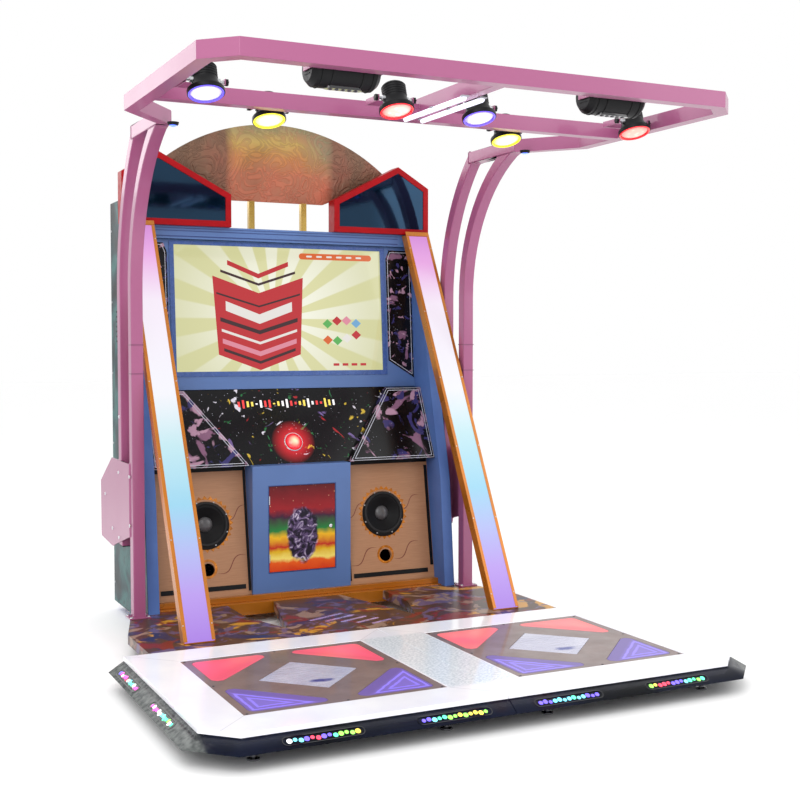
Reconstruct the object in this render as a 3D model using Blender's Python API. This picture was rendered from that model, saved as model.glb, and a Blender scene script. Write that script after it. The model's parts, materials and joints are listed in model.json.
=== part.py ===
"""Two-player dance rhythm machine: dance platform, video cabinet, light columns and lamp canopy.

Metres, +Z up, players stand at -Y and face +Y. Depths named ..._D are counted backwards from the
front edge of the deck; the machine_origin empty shifts them, so that the object's box is centred.
"""

import math

import bmesh
import bpy
from mathutils import Euler, Matrix, Vector

# ---------------------------------------------------------------- driving dimensions
GAP = 0.0003                 # between pieces that touch
RUN = 0.0015                 # round pieces that move, all round

# dance platform
DECK_WIDTH = 2.36
DECK_DEPTH = 1.19
DECK_TOP = 0.125
DECK_THICK = 0.018
DECK_CHAMFER = 0.118
DECK_SEAM = 0.002
SKIRT_FLARE = 0.065
SKIRT_BOTTOM = 0.066
SHEET = 0.004
PAD_SIZE = 0.825
PAD_CENTRE_X = 0.574
PAD_CENTRE_D = 0.600
PAD_SINK = 0.002
PAD_RIM = 0.034              # bronze border outside the arrow panels
CENTRE_SIDE = 0.300
CENTRE_BAND = 0.040          # bronze band between the centre and the arrow panels
CORNER_ARC = 0.030
PANEL_THICK = 0.012
PANEL_TRAVEL = 0.003
WELL_LEDGE = 0.020
WELL_FLOOR = 0.074
FOOT_RADIUS = 0.024
FOOT_THICK = 0.010
STEM_RADIUS = 0.009
PLATFORM_FEET_X = (0.225, 0.990)
FOOT_INSET_D = 0.080

# bridge between platform and cabinet
BRIDGE_TOP = 0.105
BRIDGE_THICK = 0.045
BRIDGE_SPREAD = 0.103         # front of the side boards, out past the tube frames
BRIDGE_TAPER_D = 1.650       # where the outer edge starts to taper
BRIDGE_REAR_SPREAD = 0.003    # rear of the side boards, out past the tube frames
BRIDGE_CENTRE_FOOT_X = 0.130
BRIDGE_FOOT_INSET = 0.120
SLOT_APEX_X = 0.340
SLOT_APEX_D = 1.458
SLOT_INNER_X = 0.190
SLOT_OUTER_X = 0.440

# cabinet
CABINET_BACK_D = 2.730
CABINET_HALF_INSIDE = 0.803
SIDE_THICK = 0.060
SIDE_BOTTOM = 0.045
SIDE_FRONT_D = 2.010
SIDE_TOE = 0.050             # upright foot of a side panel's front edge
SIDE_KNEE_D = 2.065
SIDE_KNEE_Z = 0.700
CROWN_TOP = 2.068
CROWN_HEIGHT = 0.068
REAR_RISE_TOP = 2.200
REAR_RISE_D = 2.465
BASE_FRONT_D = 2.050
BASE_TOP = 0.109
RAIL_HEIGHT = 0.028
RAIL_DEPTH = 0.030
BOARD = 0.018                # wooden boards
CABINET_FOOT_X = 0.700
CABINET_FOOT_INSET = 0.090
SPEAKER_FRONT_D = 2.130
SPEAKER_LEAN = math.radians(9.0)
CONTROL_Z = 0.808            # top of the speaker panels, foot of the control panel
SCREEN_Z = 1.200             # head of the control panel, foot of the screen surround
WOOFER_X = 0.508
WOOFER_Z = 0.500
WOOFER_RADIUS = 0.125
WOOFER_DEPTH = 0.110
WOOFER_RIM = 0.008
WOOFER_EDGE = 0.003
WOOFER_CONE = 0.030          # depth of the cone below the rim
PORT_Z = 0.272
PORT_RADIUS = 0.036
COIN_HALF_WIDTH = 0.279
COIN_FRONT_D = 2.115
COIN_DEPTH = 0.260
DOOR_HALF_WIDTH = 0.187
DOOR_BOTTOM = 0.244
DOOR_TOP = 0.697
DOOR_THICK = 0.012
DOOR_GAP = 0.002
CASH_BOX_CLEAR = 0.020       # beside and behind the cash box
CASH_BOX_SETBACK = 0.050     # behind the door
CASH_BOX_OVER = 0.040        # above the door's lower edge
CASH_BOX_SHEET = 0.002
CONTROL_BOX_DEPTH = 0.060
CONTROL_LEAN = math.radians(24.8)
CONTROL_BOX_FOOT_X = 0.283
CONTROL_BOX_HEAD_X = 0.585
BUTTON_RADIUS = 0.045
BUTTON_DOME = 0.014
BUTTON_STEM = 0.030
BUTTON_TRAVEL = 0.004
BUTTON_UP = 0.110            # up the control panel from its foot
SCREEN_HALF_WIDTH = 0.605
SCREEN_SILL = 0.092          # surround below the picture
SCREEN_HEAD = 0.022          # surround above the picture
SCREEN_LEAN = math.radians(4.0)
SURROUND_THICK = 0.012
SCREEN_FRONT_D = 2.378
MONITOR_BEZEL = 0.014
MONITOR_THICK = 0.060
REAR_DOOR_HALF_WIDTH = 0.300
REAR_DOOR_BOTTOM = 0.250
REAR_DOOR_TOP = 1.050
UNIT_X = (0.360, 0.700)      # game computer and amplifier
UNIT_BACK = (0.070, 0.300)   # in front of the cabinet's rear face
COMPUTER_HEIGHT = 0.160
AMPLIFIER_HEIGHT = 0.110

# signs on the crown
SIGN_FRONT_D = 2.380
SIGN_DEPTH = 0.080
SIGN_INNER_X = 0.298
SIGN_PEAK_X = 0.694
SIGN_PROUD = 0.022           # a side sign, out past its side panel
SIGN_INNER_Z = 0.175         # heights above the crown
SIGN_PEAK_Z = 0.381
SIGN_OUTER_Z = 0.267
DOME_HALF_WIDTH = 0.660
DOME_FLAT = 0.275
DOME_BOTTOM = 2.225
DOME_TIP_Z = 2.410
DOME_TOP = 2.650
DOME_THICK = 0.040
DOME_CORNER = (0.030, 0.012)
POST_X = 0.152
POST_SIZE = 0.032

# light columns
COLUMN_PROUD = 0.009         # a column, out past its side panel
COLUMN_WIDTH = 0.147
COLUMN_DEPTH = 0.050
COLUMN_WALL = 0.004
COLUMN_FOOT_D = 1.350        # front edge of the foot
COLUMN_LEAN = math.radians(27.0)
COLUMN_HEAD_D = 2.345
COLUMN_PLATE = 0.006
COLUMN_CAP = 0.030           # closed head of the channel above its diffuser
COLUMN_LEVEL = 0.006         # head of a column below the crown's top
COLUMN_CLEAR = 0.004         # from a column's rear face to the cabinet
DIFFUSER_DEPTH = 0.030

# tube frames
TUBE = 0.060
TUBE_CLEAR = 0.024           # from a side panel to the tubes
FRONT_TUBE_D = 1.985
REAR_TUBE_D = 2.210
ARC_CENTRE_Z = 1.700
ARC_CENTRE_D = 1.180
REAR_TUBE_BOTTOM = 0.430
HEX_FRONT_D = 1.999
HEX_BACK_D = 2.630
HEX_BOTTOM = 0.402
HEX_TOP = 0.862
HEX_THICK = 0.012
HEX_FRONT_CUT = 0.100
HEX_REAR_CUTS = (0.020, 0.140)
HEX_WAIST = 0.550            # how far ahead of its rear edge the points lie, of its height
UPPER_SPACER_Z = 1.050       # lower end of the upper spacer between a rear tube and the cabinet

# canopy
CANOPY_HALF_WIDTH = 1.156
CANOPY_FRONT_D = 0.032
CANOPY_CHAMFER = 0.116
CANOPY_TOP = 2.480
CANOPY_HEIGHT = 0.065
CANOPY_BAR = 0.060
CROSS_BAR_D = 0.855
SIDE_BAR_END_D = 1.180
SPINE_HALF_WIDTH = 0.025
RAIL_LIP = 0.008             # rail of a tube frame in front of its front tube
RAIL_PROUD = 0.003           # rail beside the tubes
ARM_BITE = 0.004             # a lamp's arm inside the bar that carries it

# lamps
LAMP_CAN_RADIUS = 0.056
LAMP_RIM_RADIUS = 0.072
LAMP_RIM_LENGTH = 0.022
LAMP_LENGTH = 0.125
LAMP_PIVOT = 0.055           # above the lens
LAMP_REACH = 0.106           # from a pivot to the bar or strap that carries it
LAMP_AIM = math.radians(18.0)
LAMP_OUTER_X = 0.990
LAMP_MIDDLE_X = 0.582
LAMP_INNER_X = 0.192
LAMP_FRONT_D = 0.590
CHEEK = 0.004
CHEEK_HEIGHT = 0.024
EFFECT_X = 0.594
EFFECT_D = 0.205
EFFECT_RADIUS = 0.070
EFFECT_LENGTH = 0.270
EFFECT_SHOULDER = 0.020

# ---------------------------------------------------------------- derived dimensions
SHIFT_Y = (SKIRT_FLARE - CABINET_BACK_D) / 2
DECK_BOTTOM = DECK_TOP - DECK_THICK
PAD_TOP = DECK_TOP - PAD_SINK
SIDE_OUTSIDE = CABINET_HALF_INSIDE + SIDE_THICK
COLUMN_X = SIDE_OUTSIDE + COLUMN_PROUD - COLUMN_WIDTH / 2
TUBE_X = SIDE_OUTSIDE + TUBE_CLEAR + TUBE / 2
SIGN_OUTER_X = SIDE_OUTSIDE + SIGN_PROUD
BRIDGE_HALF_WIDTH = TUBE_X + TUBE / 2 + BRIDGE_SPREAD
BRIDGE_REAR_HALF_WIDTH = TUBE_X + TUBE / 2 + BRIDGE_REAR_SPREAD
INSIDE = CABINET_HALF_INSIDE - GAP
CROWN_BOTTOM = CROWN_TOP - CROWN_HEIGHT
CANOPY_BOTTOM = CANOPY_TOP - CANOPY_HEIGHT
PIVOT_Z = CANOPY_BOTTOM + CANOPY_HEIGHT / 2 - 0.006
FRONT_ARC = FRONT_TUBE_D - ARC_CENTRE_D
REAR_ARC = REAR_TUBE_D - ARC_CENTRE_D

TUBE_END_Z = CANOPY_TOP - 0.020
FRONT_TUBE_END = math.asin((TUBE_END_Z - ARC_CENTRE_Z) / FRONT_ARC)
REAR_TUBE_END = math.asin((TUBE_END_Z - ARC_CENTRE_Z) / REAR_ARC)
CANOPY_REAR_D = ARC_CENTRE_D + (FRONT_ARC - TUBE / 2) * math.cos(FRONT_TUBE_END) - RAIL_LIP

SIDE_WAYS = (("left", -1), ("right", 1))
OVERRUN = 0.200              # how far a leaning piece is drawn past its level ends, and cutters past a piece

# Outlines drawn as (x, z) with thickness towards -Y, as (depth, z) with thickness to +X, or as (x, depth)
FRONT_VIEW = Euler((math.radians(90), 0, 0))
SIDE_VIEW = Euler((math.radians(90), 0, math.radians(90)))
FLAT = Euler((0, 0, 0))

WHITE_ACRYLIC = ((0.86, 0.86, 0.92), 0.25, 0.0)
BLACK_MIRROR = ((0.02, 0.02, 0.03), 0.08, 0.4)
BRONZE = ((0.22, 0.15, 0.12), 0.35, 0.7)
BLACK_PAINT = ((0.015, 0.015, 0.02), 0.3, 0.0)
BLUE_LAMINATE = ((0.08, 0.16, 0.38), 0.35, 0.0)
GOLD = ((0.60, 0.30, 0.04), 0.25, 0.8)
KRAFT = ((0.35, 0.20, 0.12), 0.5, 0.0)
PINK_PAINT = ((0.48, 0.14, 0.30), 0.3, 0.2)
STEEL = ((0.55, 0.55, 0.58), 0.35, 0.9)
RED_EDGE = ((0.30, 0.01, 0.02), 0.3, 0.1)
BRASS = ((0.65, 0.42, 0.12), 0.3, 0.9)
PRINT = ((0.10, 0.07, 0.12), 0.3, 0.0)
GLOW = ((0.85, 0.80, 0.98), 0.3, 0.0)


# ---------------------------------------------------------------- modelling helpers
def new_collection(name):
    collection = bpy.data.collections.new(name)
    bpy.context.scene.collection.children.link(collection)
    return collection


def clear_scene():
    for obj in list(bpy.data.objects):
        bpy.data.objects.remove(obj, do_unlink=True)


def finish(obj, look):
    """Gives the object a material of its own and hangs it on the origin empty."""
    colour, roughness, metallic = look
    material = bpy.data.materials.new(obj.name)
    material.use_nodes = True
    shader = material.node_tree.nodes["Principled BSDF"]
    shader.inputs["Base Color"].default_value = (*colour, 1)
    shader.inputs["Roughness"].default_value = roughness
    shader.inputs["Metallic"].default_value = metallic
    obj.data.materials.clear()
    obj.data.materials.append(material)
    obj.parent = origin
    return obj


def add_object(name, mesh, place=(0, 0, 0), turn=FLAT):
    obj = bpy.data.objects.new(name, mesh)
    parts.objects.link(obj)
    obj.rotation_euler = turn
    obj.location = place
    return obj


def as_helper(obj):
    """Moves an object to the helpers: it shapes others and is no piece of its own."""
    parts.objects.unlink(obj)
    helpers.objects.link(obj)
    obj.hide_render = True
    obj.display_type = "WIRE"
    obj.parent = origin
    return obj


def boolean(obj, other, operation):
    modifier = obj.modifiers.new(operation.lower(), "BOOLEAN")
    modifier.operation = operation
    modifier.object = as_helper(other)
    return obj


def cut(obj, *others):
    for other in others:
        boolean(obj, other, "DIFFERENCE")
    return obj


def join(obj, *others):
    for other in others:
        boolean(obj, other, "UNION")
    return obj


def box(name, low, high):
    """A box between two corners."""
    low, high = Vector(low), Vector(high)
    shape = bmesh.new()
    bmesh.ops.create_cube(shape, size=1)
    bmesh.ops.scale(shape, vec=high - low, verts=shape.verts)
    bmesh.ops.translate(shape, vec=(high + low) / 2, verts=shape.verts)
    mesh = bpy.data.meshes.new(name)
    shape.to_mesh(mesh)
    shape.free()
    return add_object(name, mesh)


def span(side, near, far):
    """Low and high x of a stretch between two distances from the centre plane."""
    return (near, far) if side > 0 else (-far, -near)


def side_box(name, side, x, d, z):
    """A box on one side of the machine, from (near, far) pairs."""
    low_x, high_x = span(side, *x)
    return box(name, (low_x, d[0], z[0]), (high_x, d[1], z[1]))


def plate(name, loops, low, high, turn=FLAT, place=(0, 0, 0)):
    """A flat outline with holes, drawn in the object's own XY plane and thickened from low to high."""
    curve = bpy.data.curves.new(name, "CURVE")
    curve.dimensions = "2D"
    curve.fill_mode = "BOTH"
    curve.extrude = (high - low) / 2
    for loop in loops:
        spline = curve.splines.new("POLY")
        spline.points.add(len(loop) - 1)
        for point, (x, y) in zip(spline.points, loop):
            point.co = (x, y, 0, 1)
        spline.use_cyclic_u = True
    guide = bpy.data.objects.new(name + "_outline", curve)
    helpers.objects.link(guide)
    graph = bpy.context.evaluated_depsgraph_get()
    mesh = bpy.data.meshes.new_from_object(guide.evaluated_get(graph))
    bpy.data.objects.remove(guide)
    shape = bmesh.new()
    shape.from_mesh(mesh)
    bmesh.ops.remove_doubles(shape, verts=shape.verts, dist=1e-5)
    bmesh.ops.translate(shape, vec=(0, 0, (low + high) / 2), verts=shape.verts)
    bmesh.ops.recalc_face_normals(shape, faces=shape.faces)
    shape.to_mesh(mesh)
    shape.free()
    return add_object(name, mesh, place, turn)


def turned(name, profile, segments, turn=FLAT, place=(0, 0, 0)):
    """A turned solid about its own Z: the profile runs from the axis, down the outside, back to the axis."""
    shape = bmesh.new()
    points = [shape.verts.new((radius, 0, height)) for radius, height in profile]
    edges = [shape.edges.new(pair) for pair in zip(points, points[1:])]
    bmesh.ops.spin(
        shape, geom=points + edges, cent=(0, 0, 0), axis=(0, 0, 1),
        angle=math.tau, steps=segments, use_merge=True,
    )
    bmesh.ops.remove_doubles(shape, verts=shape.verts, dist=1e-5)
    bmesh.ops.recalc_face_normals(shape, faces=shape.faces)
    mesh = bpy.data.meshes.new(name)
    shape.to_mesh(mesh)
    shape.free()
    mesh.shade_smooth()
    mesh.set_sharp_from_angle(angle=math.radians(40))
    return add_object(name, mesh, place, turn)


def loft(name, lower, upper, low, high):
    """A solid between two outlines with the same number of points, at two heights."""
    shape = bmesh.new()
    bottom = [shape.verts.new((x, y, low)) for x, y in lower]
    top = [shape.verts.new((x, y, high)) for x, y in upper]
    shape.faces.new(bottom)
    shape.faces.new(top)
    count = len(bottom)
    for i in range(count):
        shape.faces.new((bottom[i], bottom[(i + 1) % count], top[(i + 1) % count], top[i]))
    bmesh.ops.recalc_face_normals(shape, faces=shape.faces)
    mesh = bpy.data.meshes.new(name)
    shape.to_mesh(mesh)
    shape.free()
    return add_object(name, mesh)


def rectangle(low_x, low_y, high_x, high_y):
    return [(low_x, low_y), (high_x, low_y), (high_x, high_y), (low_x, high_y)]


def arc(centre, radius, start, end, steps):
    """Points of an arc, angles in degrees."""
    turn = [math.radians(start + (end - start) * i / steps) for i in range(steps + 1)]
    return [(centre[0] + radius * math.cos(a), centre[1] + radius * math.sin(a)) for a in turn]


def circle(centre, radius, steps):
    return arc(centre, radius, 0, 360 - 360 / steps, steps - 1)


def mirrored(loop, side):
    return [(side * x, y) for x, y in loop]


def rounded(corners, radius, steps=4):
    """A convex outline with every corner rounded."""
    result = []
    count = len(corners)
    for i, corner in enumerate(corners):
        here = Vector(corner)
        before = (Vector(corners[i - 1]) - here).normalized()
        after = (Vector(corners[(i + 1) % count]) - here).normalized()
        half = before.angle(after) / 2
        start, end = here + before * radius / math.tan(half), here + after * radius / math.tan(half)
        middle = here + (before + after).normalized() * radius / math.sin(half)
        for step in range(steps + 1):
            spoke = (start - middle).lerp(end - middle, step / steps)
            result.append(tuple(middle + spoke.normalized() * radius))
    return result


def inset(corners, distance):
    """A convex outline, counter-clockwise, moved inwards by one distance."""
    result = []
    count = len(corners)
    for i in range(count):
        here = Vector(corners[i])
        back = (here - Vector(corners[i - 1])).normalized()
        ahead = (Vector(corners[(i + 1) % count]) - here).normalized()
        normals = Vector((-back.y, back.x)), Vector((-ahead.y, ahead.x))
        bisector = (normals[0] + normals[1]).normalized()
        result.append(tuple(here + bisector * distance / bisector.dot(normals[0])))
    return result


# ---------------------------------------------------------------- dance platform
def half_deck(side, grow, rear_grow, seam):
    """Outline of half the platform, its outer edges moved out by grow."""
    half, shift = DECK_WIDTH / 2, grow * math.tan(math.radians(22.5))
    return mirrored([
        (seam, -grow),
        (half - DECK_CHAMFER + shift, -grow),
        (half + grow, DECK_CHAMFER - shift),
        (half + grow, DECK_DEPTH + rear_grow),
        (seam, DECK_DEPTH + rear_grow),
    ], side)


def pad_square(side, grow):
    half = PAD_SIZE / 2 + grow
    x = side * PAD_CENTRE_X
    return rectangle(x - half, PAD_CENTRE_D - half, x + half, PAD_CENTRE_D + half)


def foot(name, place, top):
    """A levelling foot: a turned pad with its threaded stem."""
    profile = [
        (0, top), (STEM_RADIUS, top), (STEM_RADIUS, FOOT_THICK), (FOOT_RADIUS, FOOT_THICK * 0.6),
        (FOOT_RADIUS, 0), (0, 0),
    ]
    return turned(name, profile, 16, place=(*place, 0))


def make_deck(word, side):
    name = f"deck_{word}"
    outline = half_deck(side, 0, 0, DECK_SEAM / 2)
    obj = plate(name, [outline, pad_square(side, GAP)], DECK_BOTTOM, DECK_TOP)
    finish(obj, WHITE_ACRYLIC)


def make_platform_base(word, side):
    """Flared skirt, top sheet, pad well and feet: the welded base of half the platform."""
    name = f"platform_base_{word}"
    top = DECK_BOTTOM - GAP
    seam = DECK_SEAM / 2
    height = top - SKIRT_BOTTOM

    def ring(z, wall):
        grow = SKIRT_FLARE * (top - z) / height
        return half_deck(side, grow - wall, -wall, seam + wall)

    base = loft(name, ring(SKIRT_BOTTOM, 0), ring(top, 0), SKIRT_BOTTOM, top)
    below, ceiling = SKIRT_BOTTOM - SHEET, top - SHEET
    hollow = loft(name + "_hollow", ring(below, SHEET), ring(ceiling, SHEET), below, ceiling)
    mouth = plate(name + "_mouth", [pad_square(side, -WELL_LEDGE)], ceiling - SHEET, top + SHEET)
    well, well_outside = pad_square(side, -WELL_LEDGE), pad_square(side, SHEET - WELL_LEDGE)
    walls = plate(name + "_walls", [well_outside, well], WELL_FLOOR, top - GAP)
    floor = plate(name + "_floor", [well_outside], WELL_FLOOR - SHEET, WELL_FLOOR + GAP)
    join(cut(base, hollow, mouth), walls, floor)
    for x in PLATFORM_FEET_X:
        for d in (FOOT_INSET_D, DECK_DEPTH - FOOT_INSET_D):
            join(base, foot(name + "_foot", (side * x, d), top - SHEET / 2))
    finish(base, BLACK_MIRROR)


def centre_diamond(side, half_diagonal):
    x, d, r = side * PAD_CENTRE_X, PAD_CENTRE_D, half_diagonal
    return [(x, d - r), (x + r, d), (x, d + r), (x - r, d)]


def corner_triangle(side, sign_x, sign_d):
    """Right-angled corner area between the rim and the band round the centre plate, counter-clockwise."""
    centre_x = side * PAD_CENTRE_X
    edge = PAD_SIZE / 2 - PAD_RIM
    reach = CENTRE_SIDE * math.sqrt(0.5) + CENTRE_BAND * math.sqrt(2)   # |x| + |y| on the hypotenuse
    leg = min(2 * edge - reach, edge - CENTRE_BAND / 2)
    corner = (centre_x + sign_x * edge, PAD_CENTRE_D + sign_d * edge)
    along_x = (corner[0] - sign_x * leg, corner[1])
    along_d = (corner[0], corner[1] - sign_d * leg)
    points = [corner, along_x, along_d]
    return points if sign_x * sign_d > 0 else points[::-1]


def panel_outlines(side):
    """Names and hole outlines of the five panels of one pad."""
    half_diagonal = CENTRE_SIDE * math.sqrt(0.5)
    outlines = {"centre": centre_diamond(side, half_diagonal)}
    for depth, sign_d in (("front", -1), ("rear", 1)):
        for across, sign_x in (("left", -1), ("right", 1)):
            outlines[f"{depth}_{across}"] = corner_triangle(side, sign_x, sign_d)
    return outlines


def make_pad(word, side):
    """The bronze pad plate and its five stepping panels."""
    outlines = panel_outlines(side)
    holes = [rounded(loop, CORNER_ARC if key != "centre" else RUN * 2) for key, loop in outlines.items()]
    finish(plate(f"pad_plate_{word}", [pad_square(side, 0), *holes], DECK_BOTTOM, PAD_TOP), BRONZE)
    for key, loop in outlines.items():
        arc_radius = CORNER_ARC if key != "centre" else RUN * 2
        outline = rounded(inset(loop, RUN), arc_radius - RUN)
        panel = plate(f"panel_{word}_{key}", [outline], -PANEL_THICK, 0, place=(0, 0, PAD_TOP))
        finish(panel, STEEL if key == "centre" else GLOW)


# ---------------------------------------------------------------- bridge
def make_bridge():
    """Three printed foot boards between the platform and the cabinet, with two tapered slots between them."""
    front, back = DECK_DEPTH + GAP, BASE_FRONT_D - GAP
    low, high = BRIDGE_TOP - BRIDGE_THICK, BRIDGE_TOP
    centre = [
        (SLOT_APEX_X - GAP, front), (SLOT_APEX_X - GAP, SLOT_APEX_D), (SLOT_INNER_X, back),
        (-SLOT_INNER_X, back), (GAP - SLOT_APEX_X, SLOT_APEX_D), (GAP - SLOT_APEX_X, front),
    ]
    board = plate("bridge_centre", [centre], low, high)
    for x in (-BRIDGE_CENTRE_FOOT_X, BRIDGE_CENTRE_FOOT_X):
        join(board, foot("bridge_centre_foot", (x, (front + back) / 2), low + BRIDGE_THICK / 2))
    finish(board, PRINT)
    notch_x, notch_d = CABINET_HALF_INSIDE - GAP, SIDE_FRONT_D - GAP
    for word, side in SIDE_WAYS:
        outline = mirrored([
            (SLOT_APEX_X + GAP, front), (BRIDGE_HALF_WIDTH, front), (BRIDGE_HALF_WIDTH, BRIDGE_TAPER_D),
            (BRIDGE_REAR_HALF_WIDTH, notch_d), (notch_x, notch_d), (notch_x, back), (SLOT_OUTER_X, back),
            (SLOT_OUTER_X, (back + SLOT_APEX_D) / 2), (SLOT_APEX_X + GAP, SLOT_APEX_D),
        ], side)
        board = plate(f"bridge_{word}", [outline], low, high)
        middle_x = side * (SLOT_OUTER_X + BRIDGE_HALF_WIDTH) / 2
        for d in (front + BRIDGE_FOOT_INSET, BRIDGE_TAPER_D):
            join(board, foot("bridge_foot", (middle_x, d), low + BRIDGE_THICK / 2))
        finish(board, PRINT)


# ---------------------------------------------------------------- cabinet carcass
def column_rear_d(z):
    """Depth of a light column's rear face at a height."""
    return column_front_d(z) + COLUMN_DEPTH / math.cos(COLUMN_LEAN)


def column_front_d(z):
    return COLUMN_HEAD_D - (CROWN_TOP - z) * math.tan(COLUMN_LEAN)


def make_sides():
    head_d = column_rear_d(CROWN_TOP) + COLUMN_CLEAR
    outline = [
        (SIDE_FRONT_D, SIDE_BOTTOM), (CABINET_BACK_D, SIDE_BOTTOM), (CABINET_BACK_D, REAR_RISE_TOP),
        (REAR_RISE_D, REAR_RISE_TOP), (REAR_RISE_D, CROWN_TOP), (head_d, CROWN_TOP),
        (SIDE_KNEE_D, SIDE_KNEE_Z), (SIDE_FRONT_D, SIDE_BOTTOM + SIDE_TOE),
    ]
    for word, side in SIDE_WAYS:
        low, high = span(side, CABINET_HALF_INSIDE, SIDE_OUTSIDE)
        finish(plate(f"side_panel_{word}", [outline], low, high, SIDE_VIEW), BLUE_LAMINATE)


def make_base():
    """Kick box with its gold front, on four feet."""
    base = box("cabinet_base", (-INSIDE, BASE_FRONT_D, SIDE_BOTTOM), (INSIDE, CABINET_BACK_D, BASE_TOP))
    hollow = box(
        "cabinet_base_hollow", (BOARD - INSIDE, BASE_FRONT_D + BOARD, SIDE_BOTTOM - BOARD),
        (INSIDE - BOARD, CABINET_BACK_D - BOARD, BASE_TOP - BOARD),
    )
    cut(base, hollow)
    for x in (-CABINET_FOOT_X, CABINET_FOOT_X):
        for d in (BASE_FRONT_D + CABINET_FOOT_INSET, CABINET_BACK_D - CABINET_FOOT_INSET):
            join(base, foot("cabinet_foot", (x, d), BASE_TOP - BOARD / 2))
    finish(base, GOLD)
    rail_back = SPEAKER_FRONT_D - RAIL_DEPTH / 3
    rail = box(
        "trim_rail", (-INSIDE, rail_back - RAIL_DEPTH, BASE_TOP + GAP),
        (INSIDE, rail_back, BASE_TOP + GAP + RAIL_HEIGHT),
    )
    coin_notch = box(
        "trim_rail_notch", (-COIN_HALF_WIDTH - GAP, COIN_FRONT_D - GAP, BASE_TOP),
        (COIN_HALF_WIDTH + GAP, rail_back + BOARD, BASE_TOP + 2 * RAIL_HEIGHT),
    )
    finish(cut(rail, coin_notch), GOLD)


def make_back():
    """Rear wall with its service door, hinged on its outer face."""
    outer = rectangle(-INSIDE, BASE_TOP + GAP, INSIDE, CROWN_BOTTOM - GAP)
    hole = rectangle(
        -REAR_DOOR_HALF_WIDTH - DOOR_GAP, REAR_DOOR_BOTTOM - DOOR_GAP,
        REAR_DOOR_HALF_WIDTH + DOOR_GAP, REAR_DOOR_TOP + DOOR_GAP,
    )
    back = plate("back_panel", [outer, hole], 0, BOARD, FRONT_VIEW, (0, CABINET_BACK_D, 0))
    finish(back, BLACK_PAINT)
    leaf = rectangle(0, REAR_DOOR_BOTTOM, 2 * REAR_DOOR_HALF_WIDTH, REAR_DOOR_TOP)
    hinge = (-REAR_DOOR_HALF_WIDTH, CABINET_BACK_D, 0)
    door = plate("rear_door", [leaf], 0, DOOR_THICK, FRONT_VIEW, hinge)
    finish(door, BLACK_PAINT)


def make_crown():
    front = column_rear_d(CROWN_TOP) + COLUMN_CLEAR
    crown = box("crown_cover", (-INSIDE, front, CROWN_BOTTOM), (INSIDE, CABINET_BACK_D, CROWN_TOP))
    hollow = box(
        "crown_hollow", (BOARD - INSIDE, front + BOARD, CROWN_BOTTOM - BOARD),
        (INSIDE - BOARD, CABINET_BACK_D - BOARD, CROWN_TOP - BOARD),
    )
    finish(cut(crown, hollow), BLUE_LAMINATE)


# ---------------------------------------------------------------- cabinet front
def leaning(lean):
    """Outlines drawn as (x, distance up the slope), thickness towards the player."""
    return Euler((math.radians(90) - lean, 0, 0))


def level_ends(obj, low, high):
    """Cuts a leaning piece level at two heights."""
    for height, near, far in (("under", low - 2 * OVERRUN, low), ("over", high, high + 2 * OVERRUN)):
        cutter = box(
            f"{obj.name}_{height}", (-DECK_WIDTH, -DECK_DEPTH, near), (DECK_WIDTH, 2 * CABINET_BACK_D, far)
        )
        cut(obj, cutter)
    return obj


def make_speakers():
    """Leaning baffles, each with a woofer hole and a port, and the woofers in them."""
    turn = leaning(SPEAKER_LEAN)
    foot_z = BASE_TOP + GAP
    foot_d = SPEAKER_FRONT_D + BOARD / math.cos(SPEAKER_LEAN)
    scale = 1 / math.cos(SPEAKER_LEAN)
    foot_up = BOARD * math.tan(SPEAKER_LEAN)
    head = (CONTROL_Z - GAP - foot_z) * scale
    basket = WOOFER_RADIUS * 0.80
    woofer_up = (WOOFER_Z - foot_z) * scale
    for word, side in SIDE_WAYS:
        near, far = COIN_HALF_WIDTH + GAP, INSIDE
        outline = mirrored(rectangle(near, foot_up, far, head - foot_up), side)
        driver_hole = circle((side * WOOFER_X, woofer_up), basket + RUN, 32)
        port_hole = circle((side * WOOFER_X, (PORT_Z - foot_z) * scale), PORT_RADIUS, 20)
        loops = [outline, driver_hole, port_hole]
        panel = plate(f"speaker_panel_{word}", loops, 0, BOARD, turn, (0, foot_d, foot_z))
        finish(panel, KRAFT)
        front = BOARD + GAP
        rim = front + WOOFER_RIM
        centre = Matrix.Translation((0, foot_d, foot_z)) @ turn.to_matrix().to_4x4() @ Vector(
            (side * WOOFER_X, woofer_up, 0)
        )
        profile = [
            (0, rim - WOOFER_CONE * 0.6), (basket * 0.3, rim - WOOFER_CONE),
            (basket * 0.92, rim - WOOFER_EDGE), (basket, rim),
            (WOOFER_RADIUS - WOOFER_EDGE, rim), (WOOFER_RADIUS, rim - WOOFER_EDGE),
            (WOOFER_RADIUS, front), (basket, front),
            (basket, front - WOOFER_DEPTH * 0.35), (basket * 0.5, front - WOOFER_DEPTH * 0.7),
            (basket * 0.5, front - WOOFER_DEPTH), (0, front - WOOFER_DEPTH),
        ]
        finish(turned(f"woofer_{word}", profile, 32, turn, centre), BLACK_PAINT)


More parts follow.
